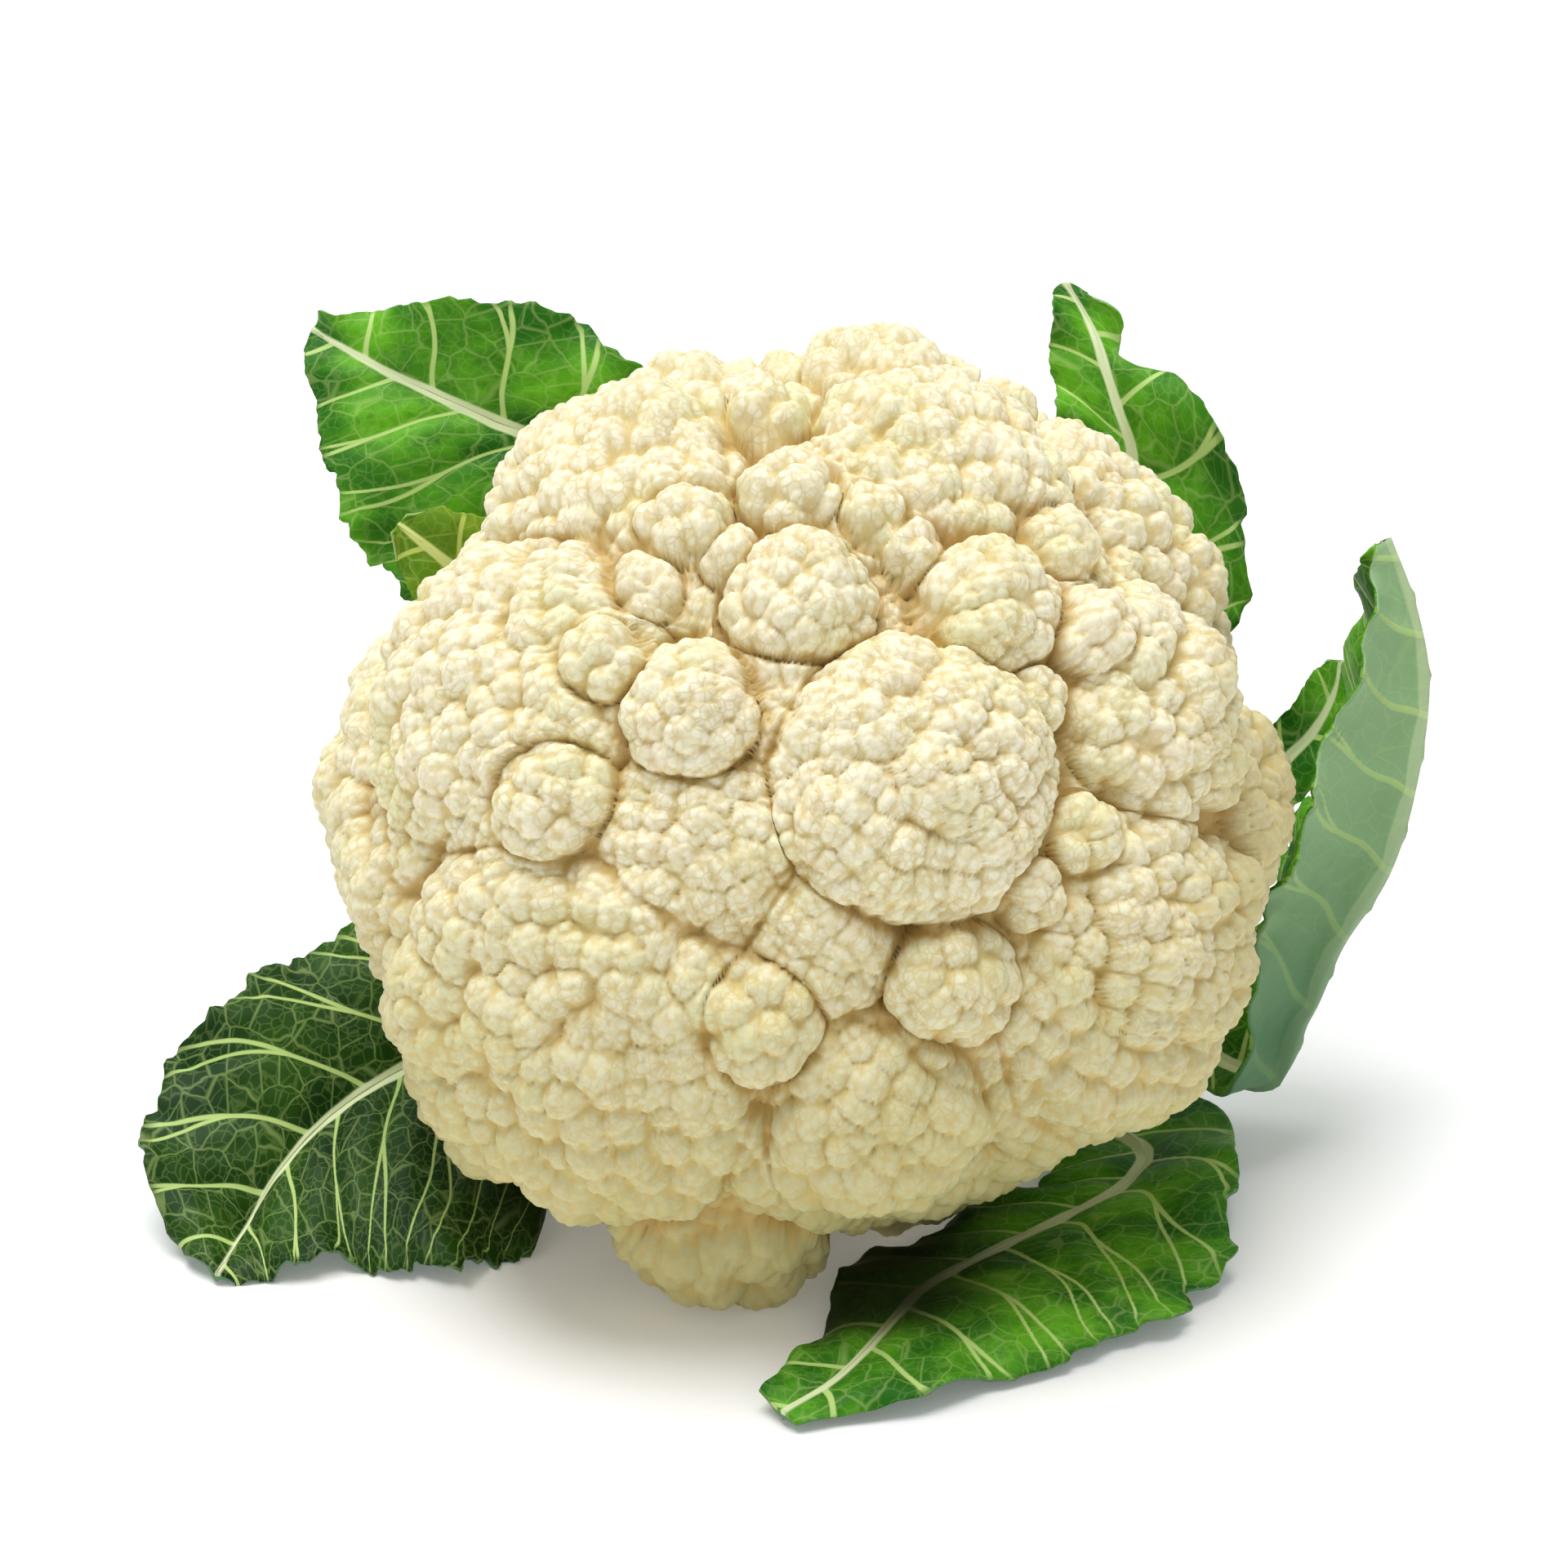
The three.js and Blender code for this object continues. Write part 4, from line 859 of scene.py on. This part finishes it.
LEAVES = {
    "leaf_upper_left": (
        120, 18, dict(arch=0.06, wave=2.2, waves=3.4, scallop=0.03, scallops=6), [
            [seen(-46, 38, 61), seen(-32, 43, 62), seen(-18, 54, 58)],
            [seen(-70, 40, 50), seen(-46, 67, 52), seen(-28, 80, 48)],
            [seen(-81, 48.5, 49), seen(-58, 73.5, 50), seen(-42, 91.5, 47)],
            [seen(-87, 61, 50), seen(-69, 78.5, 51), seen(-58, 96, 48)],
            [seen(-90, 72.5, 52), seen(-79, 83.3, 53), seen(-73.5, 94.7, 51)],
            [seen(-91.3, 82, 56), seen(-86.5, 87.6, 56), seen(-84, 93, 55)],
            [seen(-91.8, 87.5, 59), seen(-91, 90.3, 59), seen(-88.5, 91.8, 59)],
        ],
    ),
    "leaf_small_left": (
        150, 9, dict(arch=0.05, wave=1.2, waves=3, scallop=0.06, scallops=6), [
            [seen(-48, 16, 49), seen(-43, 22, 51), seen(-38, 28, 50)],
            [seen(-62, 31, 41), seen(-56, 38, 42), seen(-48, 45, 41)],
            [seen(-71, 39.5, 36), seen(-65, 46, 36), seen(-58, 54, 35)],
            [seen(-75, 46, 34), seen(-71, 51, 34), seen(-66, 57, 34)],
            [seen(-76.5, 52.5, 34), seen(-75.5, 54.3, 34), seen(-73.5, 56, 34)],
        ],
    ),
    "leaf_upper_right": (
        50, 18, dict(arch=0.08, wave=2.4, waves=3.6, scallop=0.03, scallops=6), [
            [seen(32, 44, 56), seen(42, 38, 58), seen(56, 22, 56)],
            [seen(44, 58, 48), seen(58, 52, 49), seen(80, 36, 45)],
            [seen(46.5, 70, 45), seen(61, 66.7, 45), seen(81, 58, 41)],
            [seen(46.5, 79, 44), seen(58, 75.8, 44), seen(74, 77, 41)],
            [seen(45.7, 87, 44), seen(54.5, 86.4, 45), seen(60.6, 83, 47)],
            [seen(45.6, 93.5, 47), seen(51.5, 93.2, 48), seen(57.5, 90.5, 50)],
            [seen(46.6, 98.3, 50), seen(48.5, 98.9, 50), seen(50.8, 97.8, 50)],
        ],
    ),
    "leaf_right": (
        343, 12, dict(arch=0.08, wave=1.6, waves=4.2, scallop=0.02, scallops=7), [
            [seen(54, -16, 56), seen(55, -30, 52), seen(57, -40, 48)],
            [seen(80, -24, 44), seen(83, -48, 29), seen(79, -52.5, 23)],
            [seen(88, -12, 46), seen(92, -37, 24), seen(82, -40, 12)],
            [seen(94, 0, 46), seen(98, -24, 22), seen(85.5, -24, 8)],
            [seen(99, 12, 45), seen(107, -10, 21), seen(88.5, -11, 6)],
            [seen(102, 24, 42), seen(112, 6, 20), seen(94, 4, 5)],
            [seen(103, 36, 36), seen(114.5, 24, 19), seen(101.5, 20, 7)],
            [seen(103.5, 45, 28), seen(112.5, 38, 18), seen(105, 36, 11)],
            [seen(106.6, 50.5, 20), seen(107.8, 51.5, 18), seen(107.6, 50, 16)],
        ],
    ),
    "leaf_small_right": (
        10, 8, dict(arch=0.08, wave=0.8, waves=2.5, scallop=0.03, scallops=5), [
            [seen(52, 8, 62), seen(55, 0, 63), seen(57, -8, 61)],
            [seen(78, 10, 60), seen(80, 4, 60), seen(84, -2, 58)],
            [seen(88, 18, 57), seen(92, 13, 57), seen(97, 8, 55)],
            [seen(94, 26, 55), seen(98, 22, 55), seen(103, 17, 54)],
            [seen(97, 29.3, 54), seen(99.5, 29, 54), seen(102.5, 27, 53)],
        ],
    ),
    "leaf_lower_right": (
        308, 18, dict(arch=0.06, wave=1.4, waves=4.5, scallop=0.04, scallops=8), [
            [seen(50, -48, 56), seen(41, -56, 51), seen(31, -60, 45)],
            [seen(77, -55, 41), seen(62, -62, 35), seen(44, -64, 30)],
            [laid(80, -65, 8), laid(60, -69, 4.5), laid(44, -68.5, 1.4)],
            [laid(79, -77, 6), laid(48, -75.5, 3.6), laid(35, -73, 1.1)],
            [laid(73, -90, 3.5), laid(34, -82, 4.2), laid(21, -78.5, 1.1)],
            [laid(60, -97, 2), laid(22, -88.5, 5.5), laid(8, -85, 2.4)],
            [laid(43, -102, 3), laid(14, -97, 5), laid(5, -93, 3)],
            [laid(22, -108.5, 2), laid(6, -105, 4), laid(-1.5, -101.5, 3)],
            [laid(-1.5, -113, 1.5), laid(-4, -111, 2.5), laid(-8, -108.3, 2)],
        ],
    ),
    "leaf_lower_left": (
        205, 18, dict(arch=0.06, wave=2.4, waves=3.6, scallop=0.03, scallops=6), [
            [seen(-46, -56, 38), seen(-52, -36, 46), seen(-62, -14, 46)],
            [laid(-51, -79, 2), seen(-68, -44, 33), seen(-82, -20, 38)],
            [laid(-61, -83.5, 1.4), seen(-79, -50, 26), seen(-96, -27, 32)],
            [laid(-73, -85, 1.2), seen(-88.6, -56.8, 20), seen(-108, -35, 25)],
            [laid(-84, -82, 3), seen(-97, -66, 13), seen(-118.5, -48, 17)],
            [laid(-95, -85, 1.2), seen(-103, -76, 7), seen(-123, -63, 9)],
            [laid(-105, -86, 1.2), laid(-109, -85.3, 2), seen(-115.5, -80, 1)],
        ],
    ),
}
for seed, (name, (angle, spread, shape, stations)) in enumerate(LEAVES.items()):
    lines = {}
    for k, (line, turn) in enumerate((("left", spread), ("midrib", 0), ("right", -spread))):
        start_line = [
            head_point(level, stump_radius(level) + STUMP_CLEARANCE, math.radians(angle + turn))
            for level in BASE_LEVELS
        ]
        lines[line] = start_line + [station[k] for station in stations]
    made = leaf_mesh(name, lines, rib=MIDRIB, rows=LEAF_ROWS, columns=LEAF_COLUMNS, seed=seed, **shape)
    young = name == "leaf_small_left"
    made.data.materials.append(young_skin if young else leaf_skin)


# Stump and cut leaf bases
# The leaf bases are short thick sheets on the stump, and the stump is turned about the axis.
CUT_BASES = {
    "cut_base_top": (84, 13, 22, 9),
    "cut_base_left": (172, 10, 16, 6),
    "cut_base_lower_left": (240, 12, 12, 4),
    "cut_base_bottom": (272, 14, 14, 3),
}
for seed, (name, (angle, spread, reach_out, stand)) in enumerate(CUT_BASES.items()):
    lines = {}
    end = BASE_LEVELS[1] + reach_out
    for line, turn in (("left", spread), ("midrib", 0), ("right", -spread)):
        lines[line] = [
            head_point(level, stump_radius(level) + STUMP_CLEARANCE, math.radians(angle + turn))
            for level in BASE_LEVELS
        ]
        for level, share, narrow in ((end - reach_out / 2, 0.3, 1.0), (end, 1.0, 0.9)):
            out = stump_radius(level) + STUMP_CLEARANCE + stand * share
            lines[line].append(head_point(level, out, math.radians(angle + turn * narrow)))
    made = leaf_mesh(
        name, lines, arch=0, wave=0, waves=1, scallop=0, scallops=1, rib=PETIOLE,
        rows=40, columns=41, seed=seed + 20, relief=0.0,
    )
    made.data.materials.append(stump_skin)

STUMP_SIDES = 144
profile = [(0, STUMP_LENGTH), (8, STUMP_LENGTH), (16, STUMP_LENGTH), (23, STUMP_LENGTH)]
profile += [(stump_radius(NECK_LEVEL - GAP - down), down) for down in np.linspace(45, 0, 40)]
profile += [(20, 0), (10, 0), (0, 0)]
radii, downs = (np.array(column, float)[:, None] for column in zip(*profile))
turn = np.linspace(0, 2 * math.pi, STUMP_SIDES, endpoint=False)[None, :]
skin_part = smooth(radii, 20, 24) * smooth(downs, 0, 4) * smooth(downs, 45, 41)
ridges = 0.35 * np.sin(19 * turn + downs / 9) + 0.25 * np.sin(downs / 1.9 + 3 * np.sin(3 * turn))
around = (radii - 0.5 * skin_part + ridges * skin_part)[..., None]
dish = 0.8 * (radii / 23) ** 2 * (downs > 44)
spots = (
    head_point(NECK_LEVEL - GAP, 0, 0) - axis * (downs - 0.8 * (downs > 44) + dish + 0 * turn)[..., None]
    + around * (np.cos(turn)[..., None] * across + np.sin(turn)[..., None] * uphill)
)
ids = np.arange(spots.shape[0] * STUMP_SIDES).reshape(-1, STUMP_SIDES)
ahead = np.roll(ids, -1, axis=1)
quads = np.stack([ids[1:-2], ids[2:-1], ahead[2:-1], ahead[1:-2]], -1).reshape(-1, 4)[:, ::-1]
low_end = np.stack([0 * ids[1], ids[1], ahead[1]], -1)[:, ::-1]
high_end = np.stack([0 * ids[1] + ids[-1, 0], ahead[-2], ids[-2]], -1)[:, ::-1]
made = add_mesh("stump_skin", spots.reshape(-1, 3), [quads, low_end, high_end])
made.data.materials.append(stump_skin)
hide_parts("stump")
